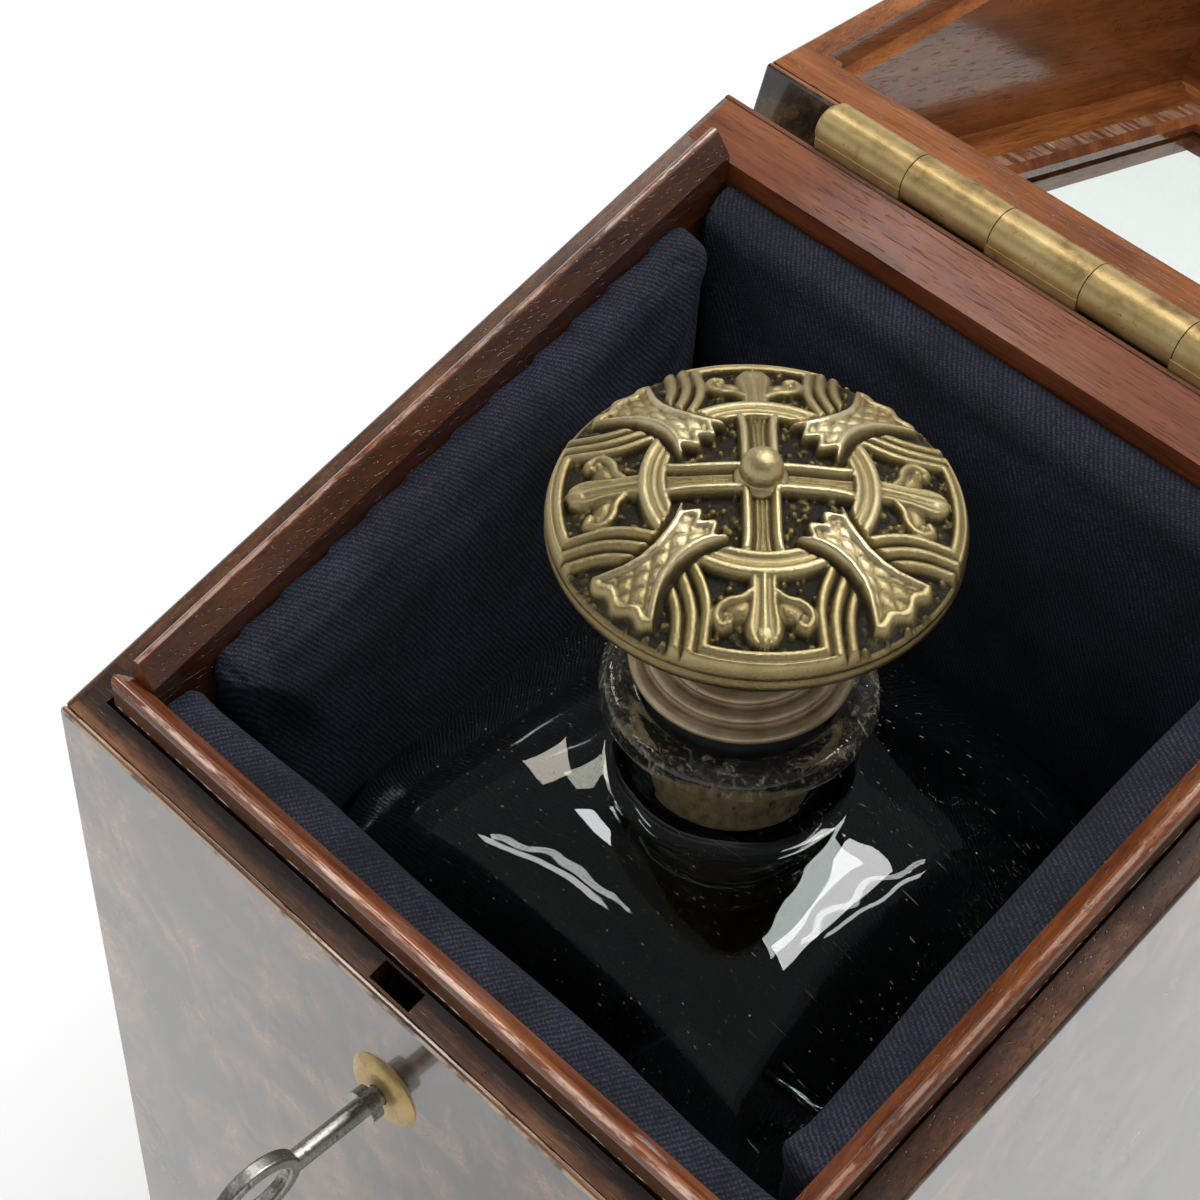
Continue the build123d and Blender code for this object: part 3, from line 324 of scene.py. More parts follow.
def twill(name):
    """Navy twill: slanting wales with threads crossing them, fuzzed over and a little linty."""
    finish = Finish(name, Sheen_Weight=0.12, Sheen_Roughness=0.4, Sheen_Tint=(96, 108, 138))
    weave = finish.node("UVMap", {"uv_map": "weave"})
    wobble = finish.clouds(finish.place(), 5, 3)
    slant = 0.5                         # of the wales, in radians
    wale_pitch, thread_pitch = 0.8 * MM, 0.55 * MM
    along = finish.share_of(weave, (math.cos(slant), math.sin(slant), 0))
    beside = finish.share_of(weave, (-math.sin(slant), math.cos(slant), 0))
    wale = ((along + wobble * 0.0011) * (2 * math.pi / wale_pitch)).sine() * 0.5 + 0.5
    thread = (beside * (2 * math.pi / thread_pitch) + wale * 1.5).sine() * 0.5 + 0.5
    fuzz = finish.clouds(finish.place(), 0.42, 3, 0.8)
    cloth = wale * 0.36 + thread * 0.18 + (fuzz - 0.5) * 1.7
    worn = finish.clouds(finish.place(), 16, 4, 0.6)
    colour = finish.ramp(cloth * 0.8 + worn * 0.7, (0.28, (7, 8, 14)), (0.58, (20, 24, 37)),
                         (0.95, (60, 67, 86)))
    fluff = finish.clouds(finish.place(), 0.35, 2, 0.7).between(0.69, 0.74)
    dust = fluff * worn.between(0.5, 0.62)
    colour = finish.mix(dust * 0.4, colour, (112, 112, 112))
    return finish.surface(colour, 0.85 + dust * 0.1, cloth + dust * 0.4, 0.16)


def baize(name):
    """Green baize, with its nap pressed flat in places."""
    finish = Finish(name, Sheen_Weight=0.4, Sheen_Roughness=0.5, Sheen_Tint=(90, 130, 100))
    nap = finish.clouds(finish.place(), 0.5, 4, 0.75)
    pressed = finish.clouds(finish.place(), 18, 3)
    colour = finish.ramp(nap * 0.6 + pressed * 0.4, (0.3, (22, 48, 30)), (0.7, (52, 92, 60)))
    return finish.surface(colour, 0.95 - pressed * 0.05, nap, 0.3)


def aged_brass(name, bright=(188, 160, 104), move=(0, 0, 0)):
    """Old lacquered brass: mellow, with dark spots, a brown bloom and faint green in the joints."""
    finish = Finish(name, Metallic=0.6)
    spot_field = finish.place(move=move)
    bloom = finish.clouds(spot_field, 6, 4, 0.65)
    spots = finish.clouds(spot_field, 0.9, 3, 0.6).between(0.64, 0.72)
    rub = finish.clouds(finish.place(stretch=(14, 1, 1)), 0.5, 3)
    colour = finish.ramp(bloom, (0.28, (132, 106, 62)), (0.46, bright),
                         (0.74, (208, 184, 132)))
    green = finish.clouds(finish.place(move=(0.01, 0, 0)), 5, 2).between(0.6, 0.78)
    colour = finish.mix(green * 0.3, colour, (120, 122, 80))
    colour = finish.mix(spots * 0.45, colour, (64, 44, 26))
    return finish.surface(colour, 0.32 + bloom * 0.1 + spots * 0.15, rub * 0.4 - spots * 0.5, 0.03)


def dull_steel(name):
    """Dull steel with brown rust coming through."""
    finish = Finish(name, Metallic=1.0)
    rust = finish.clouds(finish.place(), 2.2, 4, 0.65).between(0.56, 0.72)
    grain = finish.clouds(finish.place(stretch=(1, 1, 10)), 0.4, 2)
    colour = finish.mix(rust * 0.7, finish.ramp(grain, (0.3, (140, 138, 132)),
                                                (0.7, (182, 180, 172))), (86, 54, 34))
    return finish.surface(colour, 0.36 + rust * 0.3, grain * 0.4 + rust, 0.05)


def bottle_glass(name):
    """Clear old glass with a little dust and fine wear, and a crinkled lip, striped pale with painted
    glints.
    """
    finish = Finish(name, Transmission_Weight=1.0, IOR=1.5)
    colour = (240, 249, 245)
    ripple = finish.clouds(finish.place(stretch=(1, 1, 1.6)), 26, 2)
    crinkle = finish.clouds(finish.place(stretch=(1, 1, 0.6)), 2.6, 3, 0.6)
    lip_starts, lip_whole = 0.1962, 0.1985
    at_lip = finish.along((0, 0, 1)).between(lip_starts, lip_whole)
    finish.surface(colour, 0.0, ripple + at_lip * crinkle * 0.3, 0.5)
    specks = finish.cells(finish.place(), 2.1).between(0.085, 0.045)
    sparse = finish.clouds(finish.place(), 8, 2).between(0.5, 0.62)
    hair = finish.clouds(finish.place((0.3, 0.5, 0.2), (60, 1, 1)), 0.5, 1).between(0.735, 0.76)
    dust_and_glints = (specks * sparse * 0.55).most(hair * 0.25)
    # painted reflection: pale stripes and a faint pale film round the lip stand in for the glints it
    # shows
    lip_glint_streaks = finish.clouds(finish.place(stretch=(1, 1, 2.5)), 2.0, 4, 0.7, 1.5)
    dust_and_glints = dust_and_glints.most(at_lip * (lip_glint_streaks.between(0.5, 0.72) * 0.45 + 0.03))
    # this dust colour serves both the real specks and the lip's painted glints
    dust = finish.node("BsdfDiffuse", {}, {"Color": (214, 204, 180)})
    both = finish.node("MixShader", {}, {0: dust_and_glints, 1: Layer(finish, finish.shader.outputs[0]), 2: dust})
    finish.join(finish.tree.nodes["Material Output"].inputs["Surface"], both)
    return finish.material


def pane_glass(name):
    finish = Finish(name, Transmission_Weight=1.0, IOR=1.5)
    wave = finish.clouds(finish.place(), 40, 1)
    return finish.surface((238, 247, 243), 0.0, wave, 0.25)


def cast_bronze(name):
    """Cast medallion: bright worn ridges and dark pitted ground, by how high the ornament stands."""
    finish = Finish(name)
    rise = finish.attribute("rise")
    hollow = finish.attribute("hollow")
    pits = finish.clouds(finish.place(), 0.45, 4, 0.75)
    bloom = finish.clouds(finish.place(), 4, 3)
    height = rise + (pits - 0.5) * 0.36 + (bloom - 0.5) * 0.25
    colour = finish.ramp(height, (0.0, (38, 34, 23)), (0.13, (92, 82, 55)),
                         (0.30, (136, 120, 80)), (0.62, (180, 162, 116)),
                         (0.92, (222, 208, 166)))
    colour = finish.mix(hollow * 0.75, colour, (30, 26, 16))
    grime_and_shade = (hollow + (1 - rise.between(0.0, 0.16)) * 0.8).least(1.0)
    return finish.surface(colour, 0.27 + grime_and_shade * 0.4 + pits * 0.14, pits * (1.5 - rise), 0.14,
                          Metallic=1 - grime_and_shade * 0.6)


def satin_bronze(name):
    finish = Finish(name, Metallic=0.55)
    turning = finish.clouds(finish.place(stretch=(40, 40, 1)), 0.3, 2)
    bloom = finish.clouds(finish.place(), 4, 4)
    pits = finish.clouds(finish.place(), 0.6, 3, 0.7).between(0.62, 0.72)
    colour = finish.ramp(bloom * 0.6 + turning * 0.4, (0.35, (168, 146, 114)),
                         (0.55, (206, 186, 154)), (0.75, (226, 210, 182)))
    colour = finish.mix(pits * 0.5, colour, (84, 66, 44))
    return finish.surface(colour, 0.38 + bloom * 0.12, turning - pits, 0.03)


def seal_rubber(name):
    finish = Finish(name)
    bloom = finish.clouds(finish.place(), 3, 4, 0.7)
    colour = finish.ramp(bloom, (0.4, (20, 22, 22)), (0.72, (44, 46, 46)))
    return finish.surface(colour, 0.45 + bloom * 0.3, bloom, 0.06)


def cork_bark(name):
    finish = Finish(name, Specular_IOR_Level=0.25)
    grain = finish.clouds(finish.place(stretch=(1, 1, 1.8)), 1.6, 4, 0.65)
    pits = finish.cells(finish.place(stretch=(1, 1, 2.6)), 1.5).between(0.24, 0.12)
    # painted light: these colours are paler than the cork's own, to make up for light the glass keeps
    # from it
    colour = finish.ramp(grain, (0.32, (176, 134, 92)), (0.5, (216, 178, 132)),
                         (0.68, (236, 204, 160)))
    colour = finish.mix(pits * 0.7, colour, (88, 56, 34))
    return finish.surface(colour, 0.8 + grain * 0.1, grain - pits, 0.3)


RIM_TONES = ((54, 31, 18), (104, 65, 40), (152, 104, 68))
SIDE_TONES = ((50, 28, 16), (92, 56, 33), (140, 92, 58))
BACK_TONES = ((74, 34, 17), (118, 62, 32), (142, 84, 48))
LID_TONES = ((78, 38, 16), (136, 78, 36), (176, 110, 58))
SIDE_SHIFT, BACK_SHIFT, LID_SHIFT = (0.05, 0, 0), (0, 0.03, 0), (0.02, 0, 0)
# pale wear on the front arris, also a painted highlight along the edge
CREAM_ARRIS_HIGHLIGHT = (206, 184, 152)

# each finish with the joinery pieces that carry it
FINISHED = (
    # the front and side walls carry painted shade beside their beads
    (mahogany("mahogany_front", ALONG_X, RIM_TONES, grime_and_shade=((0, 1, 0), 0.0686, 0.0654, 0.85)),
     "front_wall"),
    (mahogany("mahogany_sides", ALONG_Y, SIDE_TONES, move=SIDE_SHIFT,
              grime_and_shade=((1, 0, 0), 0.0700, 0.0668, 0.6)), "left_wall right_wall"),
    (mahogany("mahogany_back", ALONG_X, BACK_TONES, 0.42, 0.15, BACK_SHIFT, pore_depth=0.3, shine=0.25),
     "back_wall"),
    (mahogany("mahogany_lid", LID_ALONG_X, LID_TONES, move=LID_SHIFT),
     "lid_front_wall lid_back_wall lid_front_rail lid_back_rail"),
    (mahogany("mahogany_lid_sides", LID_ALONG_Y, LID_TONES, move=(0, 0.02, 0)),
     "lid_left_wall lid_right_wall lid_left_rail lid_right_rail"),
    (mahogany("mahogany_board", ALONG_X, SIDE_TONES, 0.6, 0.1), "base_board"),
    (burr_veneer("burr_front", RIM_NORMAL, ALONG_X, RIM_TONES, arris_tone=CREAM_ARRIS_HIGHLIGHT), "front_veneer"),
    (burr_veneer("burr_sides", RIM_NORMAL, ALONG_Y, SIDE_TONES, (0, 0, 0.06), SIDE_SHIFT),
     "left_veneer right_veneer"),
    (burr_veneer("burr_back", RIM_NORMAL, ALONG_X, BACK_TONES, (0.04, 0, 0), BACK_SHIFT,
                 roughness=0.42, polish=0.15, pore_depth=0.3), "back_veneer"),
    (burr_veneer("burr_lid", LID_RIM_NORMAL, LID_ALONG_X, LID_TONES, (0, 0.05, 0), LID_SHIFT),
     "lid_front_veneer lid_back_veneer lid_left_veneer lid_right_veneer"),
    (bead_polish("bead_across", ALONG_X, (0, -1, 0), (0, -0.40, 0.917), foot=1.0, crest_highlight=0.85),
     "front_bead"),
    (bead_polish("bead_left", ALONG_Y, (-1, 0, 0), RIM_NORMAL, (0.02, 0, 0), inner_shade=0.75),
     "left_bead"),
    (bead_polish("bead_right", ALONG_Y, (1, 0, 0), RIM_NORMAL, (0.07, 0, 0), foot=0.9, crest_highlight=0.3),
     "right_bead"),
    (bead_polish("bead_lid", LID_ALONG_X, (0, 0, 1), LID_RIM_NORMAL), "glazing_beads"),
    (twill("navy_twill"), "front_pad back_pad left_pad right_pad floor_pad"),
    (baize("green_baize"), "base_baize"),
    (aged_brass("aged_brass"), "box_hinge_leaf lid_hinge_leaf hinge_pin escutcheon link_plate"),
    (aged_brass("screw_brass", (170, 138, 84), (0.02, 0, 0)), "box_hinge_screws lid_hinge_screws"),
    (dull_steel("dull_steel"), "lock_case lock_screws lock_bolt key stopper_stud"),
    (bottle_glass("bottle_glass"), "decanter"), (pane_glass("pane_glass"), "lid_pane"),
    (cast_bronze("cast_bronze"), "stopper_medallion stopper_boss"),
    (satin_bronze("satin_bronze"), "stopper_collar"), (seal_rubber("dark_seal"), "stopper_seal"),
    (cork_bark("cork"), "stopper_cork"))
FINISH_OF = {name: finish for finish, names in FINISHED for name in names.split()}
for name, finish in FINISH_OF.items():
    mesh = nodes[name].data
    mesh.materials.clear()
    mesh.materials.append(finish)


# ---- making pieces ---------------------------------------
def placed(name, data):
    """A new object, put in the scene."""
    made = bpy.data.objects.new(name, data)
    bpy.context.scene.collection.objects.link(made)
    return made


def solid(name, shape):
    """A new object of a finished bmesh, which is used up."""
    mesh = bpy.data.meshes.new(name)
    shape.to_mesh(mesh)
    shape.free()
    return placed(name, mesh)


def stand_for(made, node, body):
    """Gives a piece a joinery node's place, finish and slot, and has it ride on a body."""
    made.data.materials.clear()
    made.data.materials.append(FINISH_OF[node])
    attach(made, body)
    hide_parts(node)


def put(name, shape, node, body, smooth=True):
    """Turns a finished bmesh into the piece that stands for a joinery node."""
    made = solid(name, shape)
    if smooth:
        made.data.shade_smooth()
    stand_for(made, node, body)
    return made


def turned(profile, segments=128):
    """A solid of revolution about the upright axis from (radius, height) in millimetres."""
    shape = bmesh.new()
    line = [shape.verts.new((r * MM, 0, z * MM)) for r, z in profile]
    for a, b in zip(line, line[1:]):
        shape.edges.new((a, b))
    bmesh.ops.spin(shape, geom=shape.verts[:] + shape.edges[:], cent=(0, 0, 0), axis=(0, 0, 1),
                   angle=2 * math.pi, steps=segments, use_merge=True)
    bmesh.ops.remove_doubles(shape, verts=shape.verts, dist=1e-6)
    bmesh.ops.recalc_face_normals(shape, faces=shape.faces)
    return shape


def arc(centre, radii, start, end, steps):
    """Points of a round or oval arc in a profile, angles in degrees."""
    for i in range(steps + 1):
        a = math.radians(start + (end - start) * i / steps)
        yield centre[0] + radii[0] * math.cos(a), centre[1] + radii[1] * math.sin(a)


def closed_place(point, body):
    """Where a point of the piece is when the lid is shut, in millimetres."""
    p = Vector(point) / MM
    if body != "lid":
        return p
    hinge = Vector((0, AXIS_Y, AXIS_Z))
    return THROWN_BACK.inverted() @ (p - hinge) + hinge


def eased(node, body, width):
    """A joinery piece with its outer arrises eased round, where they meet a corner of the box."""
    skin, corner, flattest = 0.05, 1.6, math.radians(25)
    shape = bmesh.new()
    shape.from_mesh(nodes[node].data)
    bmesh.ops.remove_doubles(shape, verts=shape.verts, dist=1e-6)
    bmesh.ops.dissolve_limit(shape, angle_limit=math.radians(0.5), verts=shape.verts,
                             edges=shape.edges)
    picked = []
    for edge in shape.edges:
        if len(edge.link_faces) != 2 or edge.calc_face_angle(0) < flattest:
            continue
        ends = [closed_place(v.co, body) for v in edge.verts]
        outer = all(abs(p.x) > HALF_WIDTH - skin or abs(p.y) > HALF_DEPTH - skin for p in ends)
        at_corner = any(abs(p.x) > HALF_WIDTH - corner and abs(p.y) > HALF_DEPTH - corner for p in ends)
        if outer and at_corner:
            picked.append(edge)
    round_over(shape, picked, width * MM, 3)
    put(node + "_eased", shape, node, body, smooth=False)


def round_over(shape, edges, width, segments):
    bmesh.ops.bevel(shape, geom=edges, offset=width, offset_type="OFFSET", affect="EDGES",
                    segments=segments, profile=0.5, material=-1, clamp_overlap=True)


# ---- padded lining ---------------------------------------
OPEN_SIDE = {"front_pad": (1.3, 3.6), "back_pad": (0.9, 3.8), "left_pad": (0.9, 3.6),
             "right_pad": (0.7, 2.6), "floor_pad": (0.5, 1.2)}      # slimming, roll of the edge
CLOTH_STEP = 2.5
THICKEST = 12.0                         # no panel is thicker
SEAT_GAP, SIDE_GAP, TOP_GAP = 0.03, 0.12, 0.06
UP_AT_RIM = 100.0                       # what is higher belongs to a wall panel's upper edge
FREE_FROM_WALL = 3.0
RIPPLE = 0.3
MOST_SWELL, ROOM_LEFT = 1.6, 0.02


def pad_top(y):
    """Height of a wall panel's upper edge, which drops away from the sloping rim."""
    return RIM_MID + y * math.tan(RIM_SLOPE) - PAD_DROP / math.cos(RIM_SLOPE)


def pad_start(node):
    """The panel's own room, slimmer on its open side, with that side's edges rolled over. Gives the
    panel and the direction across its thickness."""
    low, high = (Vector(c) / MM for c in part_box(node))
    slim, roll = OPEN_SIDE[node]
    thin = 0 if high.x - low.x < THICKEST else (1 if high.y - low.y < THICKEST else 2)
    wall_low = thin == 2 or low[thin] < 0
    wall = low[thin] + SEAT_GAP if wall_low else high[thin] - SEAT_GAP
    shape = bmesh.new()
    bmesh.ops.create_cube(shape, size=1.0)
    for v in shape.verts:
        for k in range(3):
            first = v.co[k] < 0
            inset = SIDE_GAP if k != thin else (SEAT_GAP if first == wall_low else slim)
            v.co[k] = low[k] + inset if first else high[k] - inset
        if thin < 2 and v.co.z > UP_AT_RIM:
            v.co.z = pad_top(v.co.y) - TOP_GAP
    at_rim = {v for v in shape.verts if v.co.z > UP_AT_RIM}
    rim_edges = [e for e in shape.edges if at_rim.issuperset(e.verts)]
    open_edges = [e for e in shape.edges if all(abs(v.co[thin] - wall) > 1 for v in e.verts)
                  and (thin == 2 or not at_rim.isdisjoint(e.verts))]
    if thin == 1:
        open_edges = [e for e in open_edges if e in rim_edges]
    elif thin == 0:
        open_edges += [e for e in rim_edges if abs(e.verts[0].co.y - e.verts[1].co.y) < 1]
    round_over(shape, open_edges, roll, 5)
    for k in range(3):
        if k == thin:
            continue
        normal = Vector([float(axis == k) for axis in range(3)])
        for place in np.arange(low[k] + CLOTH_STEP, high[k] - 1, CLOTH_STEP):
            bmesh.ops.bisect_plane(shape, geom=shape.verts[:] + shape.edges[:] + shape.faces[:],
                                   dist=1e-4, plane_co=normal * place, plane_no=normal)
    for v in shape.verts:
        if abs(v.co[thin] - wall) > FREE_FROM_WALL:
            along, up = v.co[1 - thin] if thin < 2 else v.co.x, v.co.z if thin < 2 else v.co.y
            wave = math.sin(along / 9.0 + 1.7 * math.sin(up / 23.0) + thin) * math.sin(up / 17.0 + 0.6)
            v.co[thin] += (wave - 1) * RIPPLE * (1 if v.co[thin] > wall else -1)
    bmesh.ops.scale(shape, vec=(MM, MM, MM), verts=shape.verts)
    bmesh.ops.recalc_face_normals(shape, faces=shape.faces)
    pad = solid(node + "_stuffed", shape)
    held = pad.vertex_groups.new(name="glued")
    held.add([v.index for v in pad.data.vertices if abs(v.co[thin] / MM - wall) < 0.3
              or (thin < 2 and v.co.z / MM < low.z + 1)], 1.0, "REPLACE")
    return pad, thin


def settle(obj):
    """Applies whatever modifiers the piece has."""
    view = bpy.context.evaluated_depsgraph_get()
    mesh = bpy.data.meshes.new_from_object(obj.evaluated_get(view))
    obj.modifiers.clear()
    obj.data = mesh


CLOTH = {"quality": 6, "mass": 0.25, "tension_stiffness": 12, "compression_stiffness": 12,
         "bending_stiffness": 0.4, "vertex_group_mass": "glued", "use_pressure": True,
         "uniform_pressure_force": 4.0}
CLOTH_TICKS = 20


def stuffing(pads):
    """Blows the twill covers out against their wadding, all together."""
    for pad in pads:
        cloth = pad.modifiers.new("stuffing", "CLOTH")
        for key, value in CLOTH.items():
            setattr(cloth.settings, key, value)
        cloth.settings.effector_weights.gravity = 0.0
        cloth.collision_settings.use_collision = False
        cloth.point_cache.frame_start, cloth.point_cache.frame_end = 1, CLOTH_TICKS
    for tick in range(1, CLOTH_TICKS + 1):
        bpy.context.scene.frame_set(tick)
    for pad in pads:
        settle(pad)
    bpy.context.scene.frame_set(1)


def lining():
    """The five padded panels, swollen a little and kept inside their own room."""
    starts = {name: pad_start(name) for name in OPEN_SIDE}
    before = {name: [v.co.copy() for v in pad.data.vertices] for name, (pad, thin) in starts.items()}
    stuffing([pad for pad, thin in starts.values()])
    for name, (pad, thin) in starts.items():
        low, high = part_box(name)
        for v, old in zip(pad.data.vertices, before[name]):
            shift = v.co - old
            if shift.length > MOST_SWELL * MM:
                v.co = old + shift * (MOST_SWELL * MM / shift.length)
            for k in range(3):
                v.co[k] = min(max(v.co[k], low[k] + ROOM_LEFT * MM), high[k] - ROOM_LEFT * MM)
            if thin < 2:
                v.co.z = min(v.co.z, pad_top(v.co.y / MM) * MM)
        smooth = pad.modifiers.new("finer", "SUBSURF")
        smooth.levels = smooth.render_levels = 1
        settle(pad)
        mesh = pad.data
        mesh.shade_smooth()
        weave = mesh.uv_layers.new(name="weave")
        for loop in mesh.loops:
            p = mesh.vertices[loop.vertex_index].co
            weave.data[loop.index].uv = ((p.y, p.z + abs(p.x)), (p.x, p.z + abs(p.y)), (p.x, p.y))[thin]
        stand_for(pad, name, "box")


# ---- decanter --------------------------------------------
RING_POINTS = 160
BODY_HALF, BODY_HEIGHT = 48.5, 138.0


def ring_shape(half, power):
    """Places round one horizontal ring, from a circle (power 2) to a soft square."""
    for i in range(RING_POINTS):
        a = 2 * math.pi * (i + 0.5) / RING_POINTS
        c, s = math.cos(a), math.sin(a)
        r = half / (abs(c) ** power + abs(s) ** power) ** (1 / power)
        yield r * c, r * s


def stacked(rings):
    """A wall drawn up through horizontal rings of (half width, squareness, height) in millimetres."""
    shape = bmesh.new()
    bmesh.ops.create_circle(shape, segments=RING_POINTS, radius=1.0, cap_ends=False)
    loop = sorted(shape.verts, key=lambda v: math.atan2(v.co.y, v.co.x) % (2 * math.pi))
    edges = shape.edges[:]
    for n, (half, power, z) in enumerate(rings):
        if n:
            grown = bmesh.ops.extrude_edge_only(shape, edges=edges)["geom"]
            new = {g for g in grown if isinstance(g, bmesh.types.BMVert)}
            edges = [g for g in grown if isinstance(g, bmesh.types.BMEdge) and new.issuperset(g.verts)]
            above = {}
            for v in new:
                for e in v.link_edges:
                    o = e.other_vert(v)
                    if o in spot:
                        above[spot[o]] = v
            loop = [above[i] for i in range(RING_POINTS)]
        spot = {v: i for i, v in enumerate(loop)}
        for v, (x, y) in zip(loop, ring_shape(half, power)):
            v.co = (x * MM, y * MM, z * MM)
    return shape


def shoulder(neck, reach, squareness, rise, steps):
    """Rings over the shoulder, from the square body at step 0 to the round neck at step 20."""
    for i in steps:
        a = math.radians(90 * i / 20)
        yield (neck + reach * math.cos(a), 2 + squareness * math.cos(a) ** 1.8,
               BOTTLE_FOOT + BODY_HEIGHT + rise * math.sin(a))


def bottle_rings():
    """Outside of the decanter from the middle of its foot up to the lip, then down the inside."""
    half, foot = BODY_HALF, BOTTLE_FOOT
    neck = [(17.4, 182.6), (16.2, 183.9), (15.6, 185.8), (15.5, 190), (15.5, 195.6)]
    lip = [(16.2, 196.4), (18.2, 197.1), *arc((18.6, 199.6), (1.9, 2.6), -70, 90, 8), (16.6, 202.25),
           (15.4, 201.8), (14.75, 201.0), (14.75, 199.3), (14.4, 198.95)]
    throat = [(12.6, 198.7), (11.9, 198.2), (11.8, 196), (11.8, 185), (12.2, 181.5)]
    return [
        (3, 2, foot + 1.2), (30, 4, foot + 1.2), (43.0, 7, foot + 0.6), (45.2, 8, foot),
        (46.9, 8.5, foot + 0.5), (48.0, 8.5, foot + 1.6), (half, 8.5, foot + 3.4),
        *((half, 8.5, foot + BODY_HEIGHT * t) for t in (0.1, 0.3, 0.5, 0.7, 0.9, 0.97)),
        *shoulder(19.5, half - 19.5, 6.5, 29, range(21)),
        *((radius, 2, z) for radius, z in neck + lip + throat),
        *shoulder(13.5, 30, 6.0, 24.5, range(19, -1, -1)),
        *((43.5, 8, foot + BODY_HEIGHT * t) for t in (0.9, 0.6, 0.3, 0.13)),
        (42.0, 7.5, foot + 13.2), (39.0, 7, foot + 11.6), (33, 6, foot + 11), (3, 2, foot + 10.6)]


def decanter():
    """The blown decanter: one skin from the middle of the foot round to the floor inside."""
    shape = stacked(bottle_rings())
    bmesh.ops.holes_fill(shape, edges=[e for e in shape.edges if e.is_boundary], sides=0)
    bmesh.ops.recalc_face_normals(shape, faces=shape.faces)
    put("decanter_blown", shape, "decanter", "decanter")


# ---- stopper ---------------------------------------------
def dome(radius):
    """Height of the plain dome above the disc's underside."""
    edge = DISC_RADIUS - DISC_ROUND
    ball = (edge ** 2 + DISC_DOME ** 2) / (2 * DISC_DOME)
    return DISC_EDGE + DISC_DOME - ball + np.sqrt(np.maximum(ball ** 2 - radius ** 2, 0))


def flowing(knots, steps=8):
    """A smooth line through the knots."""
    p = np.array([knots[0]] + list(knots) + [knots[-1]], float)
    line = [p[1]]
    for a, b, c, d in zip(p, p[1:], p[2:], p[3:]):
        for i in range(1, steps + 1):
            t = i / steps
            line.append(0.5 * (2 * b + (c - a) * t + (2 * a - 5 * b + 4 * c - d) * t ** 2
                               + (3 * b - a - 3 * c + d) * t ** 3))
    return np.array(line)


def reach(line, x, y):
    """Distance of each place from a line."""
    best = np.full(x.shape, 1e9)
    for a, b in zip(line, line[1:]):
        d = b - a
        t = np.clip(((x - a[0]) * d[0] + (y - a[1]) * d[1]) / max(d @ d, 1e-9), 0, 1)
        best = np.minimum(best, np.hypot(x - a[0] - t * d[0], y - a[1] - t * d[1]))
    return best


def rounded(gap, half, height):
    """Height of a half-round bar at a distance from its middle."""
    return height * np.sqrt(np.clip(1 - (gap / half) ** 2, 0, 1))


def ledge(inside, soft=0.18):
    """0 outside, 1 inside, with a steep soft wall."""
    t = np.clip(inside / soft * 0.5 + 0.5, 0, 1)
    return t * t * (3 - 2 * t)


LUMPS = np.random.default_rng(11)
LUMP_PLACES = LUMPS.uniform(-27, 27, (1500, 2))
LUMP_SIZES = LUMPS.uniform(0.28, 0.75, 1500)
LUMP_HEIGHTS = LUMPS.uniform(0.25, 0.95, 1500)


def rubble(x, y):
    """Height of the cast lumps that roughen the sunk ground."""
    high = np.zeros(x.shape)
    for (px, py), size, height in zip(LUMP_PLACES, LUMP_SIZES, LUMP_HEIGHTS):
        near = (abs(x - px) < size) & (abs(y - py) < size)
        gap = np.hypot(x[near] - px, y[near] - py)
        high[near] = np.maximum(high[near], rounded(gap, size, height))
    return high


# each reed: radius and sweep of its run along the rim, half width, height, knots of the rest
REEDS = (
    (27.0, 0.29, 0.95, 1.75,
     ((7.95, 25.75), (7.65, 23.5), (7.4, 20.5), (7.9, 17.4), (9.5, 13.4), (10.4, 11.8))),
    (28.45, 0.345, 0.98, 1.65,
     ((9.85, 26.6), (9.55, 24.5), (9.3, 21.5), (9.75, 18.5), (11.0, 14.8), (12.0, 12.9))),
    (0, 0, 0.95, 1.5,
     ((11.9, 27.6), (11.55, 25), (11.3, 22), (11.6, 19.2), (12.6, 16.4), (13.6, 14.4))))


